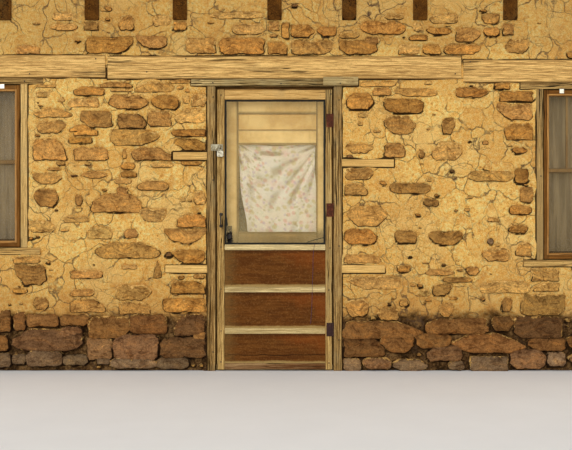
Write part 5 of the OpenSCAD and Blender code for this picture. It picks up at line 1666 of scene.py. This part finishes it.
wires = []
for k, (low, high) in enumerate(solid_boxes("window_screen_wire")):
    wires.append(turned_grid(low, high, lambda a, b: wire_cloth(a, b, WINDOW_WIRE_STEP, seed=k + 2)))
add_piece("window_screen_cloth", *joined(wires), window_wire_finish, "house", "wire_cloth",
          ["window_screen_wire"])


# Screen hangers: two short plates of galvanised iron over the top rail of each window screen, which hold it
# up in its casing. Their near-white colour is a painted highlight.
HANGER = np.array([0.03, 0.003, 0.03])
HANGER_OFF = 0.19
PLATE_FACES = ((0, 1, 3, 2), (4, 6, 7, 5), (0, 4, 5, 1), (2, 3, 7, 6), (0, 2, 6, 4), (1, 5, 7, 3))
screen_depth = min(low[1] for low, high in solid_boxes("window_screens")) - front_y
# A painted highlight: the plates' colour is near white, for the sheen on the metal
sheen_hanger_finish = metal_finish("zinc_with_painted_sheen", (250, 246, 224), (176, 160, 120), 0.3, 0.2, 0.35)
plates = []
for (turn, along, sill_z, head_z), side in itertools.product(WINDOWS, (-1, 1)):
    low = np.array([along + side * HANGER_OFF - HANGER[0] / 2, screen_depth - HANGER[1], head_z - HANGER[2]])
    corners = [low + HANGER * corner for corner in itertools.product((0, 1), repeat=3)]
    plates.append((on_wall(corners, turn), PLATE_FACES))
add_piece("screen_hangers", *joined(plates), sheen_hanger_finish, "house", "zinc")


# Net curtains: thin grey cotton net, gathered on a string behind each window and hanging in upright
# folds, browned by dust below.
NET_STEP = 0.009
net_finish = Finish("net_cotton", paint(180, 156, 114), rough=0.95, gloss=0.05)
place = net_finish.local()
gather = place.stretch((30, 30, 1.5)).noise(1, 4, 0.6)
net_finish.cover(gather.between(0.4, 0.62), paint(138, 118, 84))
net_finish.stain(place.parts()[2], 1.5, 0.8, 0.4, paint(84, 66, 38))
net_finish.shade(Alpha=(place.noise(4, 5, 0.6).between(0.3, 0.8) * 0.1 + 0.88).clamped())
net_finish.bump(gather, 0.001)


def net_folds(seed):
    """How far one net stands from its middle, from -1 to 1, as for the flowered cloth."""
    phases = np.random.default_rng(seed).uniform(0, 6.3, 3)

    def folds(u, v):
        narrow = np.sin(u * 150 + phases[0] + 1.2 * np.sin(u * 17 + phases[1]) + 0.5 * np.sin(v * 3 + u * 9))
        broad = 0.5 * np.sin(u * 41 + phases[2] + 0.7 * np.sin(v * 2.2))
        return np.clip(narrow * (0.55 + 0.3 * np.exp(-v / 0.3)) + broad, -1.4, 1.4) / 1.4

    return folds


def net_outline(s, t):
    """How far a net's edges lie inside its box, as for the flowered cloth."""
    return 0.002 + 0.004 * t, 0.002 + 0.004 * t, 0.0 * s, 0.003 + 0.003 * np.sin(s * 40)


for k, (low, high) in enumerate(solid_boxes("net_curtains")):
    points, faces, grid = turned_grid(
        low, high, lambda a, b: hanging_cloth(a, b, NET_STEP, net_folds(k), net_outline))
    net = add_piece(f"net_curtain_{k + 1}", points, faces, net_finish, "house", "net_cloth",
                    ["net_curtains"] if k == 0 else (), crease=180)
    along, down = laid_out(grid)


# Roof: round-cornered joists whose ends show in the wall, boards over them, beaten earth on top, and
# two wooden troughs that carry the rain through the back of the parapet.
ROOF_BOARD_W = 0.2
ROOF_BOARD_GAP = 0.003
TROUGH_BOARD = 0.02
EARTH_STEP = 0.05
# The earth's depth over the boards at the front and at the back, where the troughs are
EARTH_DEPTHS = (0.18, 0.12)
# The shallow runnels that lead to the troughs: how far out, how wide and how deep they are
RUNNEL_X = 1.5
RUNNEL_W = 0.12
RUNNEL_DEPTH = 0.012
joist_finish = wood_finish("joist_timber", (112, 70, 22), (70, 40, 10), (96, 70, 34),
                           0.3, 0.6, 0.3, by_length=1)
roof_board_finish = wood_finish("roof_board_timber", (196, 160, 104), (160, 122, 74),
                                (150, 124, 84), 0.15, 0.3, 0.8)
trough_finish = wood_finish("trough_timber", (168, 140, 92), (128, 98, 58), (140, 122, 88),
                            0.4, 0.5, 0.3)
dress("roof_joists", joist_finish)

boards = []
y = deck_low[1]
while y < deck_high[1] - 0.01:
    end = min(y + ROOF_BOARD_W, deck_high[1])
    for start, stop in ((deck_low[0], 0.0), (0.0, deck_high[0])):
        boards.append(((start, y, deck_low[2]), (stop - 0.002, end - ROOF_BOARD_GAP, deck_high[2])))
    y = end
add_timbers("roof_deck_boards", boards, roof_board_finish, "house", "roof_boards", ["roof_boards"],
            wear=0.0008, step=0.4, seed=231)

troughs = []
for low, high in solid_boxes("roof_drains"):
    board_top = low[2] + TROUGH_BOARD
    troughs += [
        (low, (high[0], high[1], board_top)), ((*low[:2], board_top), (low[0] + TROUGH_BOARD, *high[1:])),
        ((high[0] - TROUGH_BOARD, low[1], board_top), high),
    ]
add_timbers("roof_drain_boards", troughs, trough_finish, "house", "grey_wood", ["roof_drains"],
            wear=0.002, seed=271)

earth_finish = Finish("roof_earth_finish", paint(176, 132, 78), rough=0.95, gloss=0.04)
place = earth_finish.local()
patch = place.noise(3, 6, 0.6)
grit = place.noise(60, 6, 0.7)
straw = place.stretch((30, 120, 40)).noise(1, 3)
pebble = place.cells(38).below(0.12, 0.3)
earth_finish.cover(patch, paint(208, 166, 106))
earth_finish.stain(grit, 0.5, 0.75, 0.5, paint(140, 100, 56))
earth_finish.stain(straw, 0.66, 0.72, 0.6, paint(226, 196, 136))
earth_finish.cover(pebble * 0.4, paint(150, 128, 98))
earth_finish.bump(grit * 0.6 + pebble * 0.6 + patch * 0.4, 0.009)

earth_low, earth_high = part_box("roof_earth")
x = spaced([earth_low.x, earth_high.x], EARTH_STEP)
y = spaced([earth_low.y, earth_high.y], EARTH_STEP)
s, t = np.meshgrid(x, y, indexing="ij")
rim = np.minimum.reduce([s - x[0], x[-1] - s, t - y[0], y[-1] - t])
depth = EARTH_DEPTHS[0] + (EARTH_DEPTHS[1] - EARTH_DEPTHS[0]) * (t - y[0]) / (y[-1] - y[0])
spread = np.column_stack([s.ravel(), t.ravel(), s.ravel() * 0])
bumps = 0.006 * mottle(spread, 0.5, 17) + 0.0035 * mottle(spread, 0.14, 18)
surface = earth_low.z + depth + bumps.reshape(s.shape) + 0.02 * np.exp(-rim / 0.07)
for side in (-1, 1):
    runnel = np.exp(-((s - side * RUNNEL_X) / RUNNEL_W) ** 2) * np.clip((t + 1.2) / 3, 0, 1)
    surface -= RUNNEL_DEPTH * runnel
surface = np.where(t > y[-1] - 0.1, np.minimum(surface, earth_low.z + EARTH_DEPTHS[1] + 0.012), surface)
points = np.vstack([spread + np.outer(surface, (0, 0, 1)), spread + (0, 0, earth_low.z)])
faces, rim_ids = sheet_faces(len(x), len(y))
faces += rim_faces(rim_ids, s.size)
faces.append([corner + s.size for corner in rim_ids[::-1]])
add_piece("roof_earth_bed", points, faces, earth_finish, "house", "roof_earth", ["roof_earth"])


# Floor inside: packed earth between the walls, level with the ground outside, trodden smooth and
# darker than the roof's.
packed_finish = Finish("floor_earth_finish", paint(142, 104, 62), rough=0.85, gloss=0.2)
place = packed_finish.local()
patch = place.noise(2.5, 6, 0.6)
grit = place.noise(55, 5, 0.65)
packed_finish.cover(patch, paint(178, 138, 88))
packed_finish.stain(grit, 0.5, 0.8, 0.4, paint(112, 80, 46))
packed_finish.bump(patch * 0.6 + grit * 0.4, 0.006)
dress("earth_floor", packed_finish)
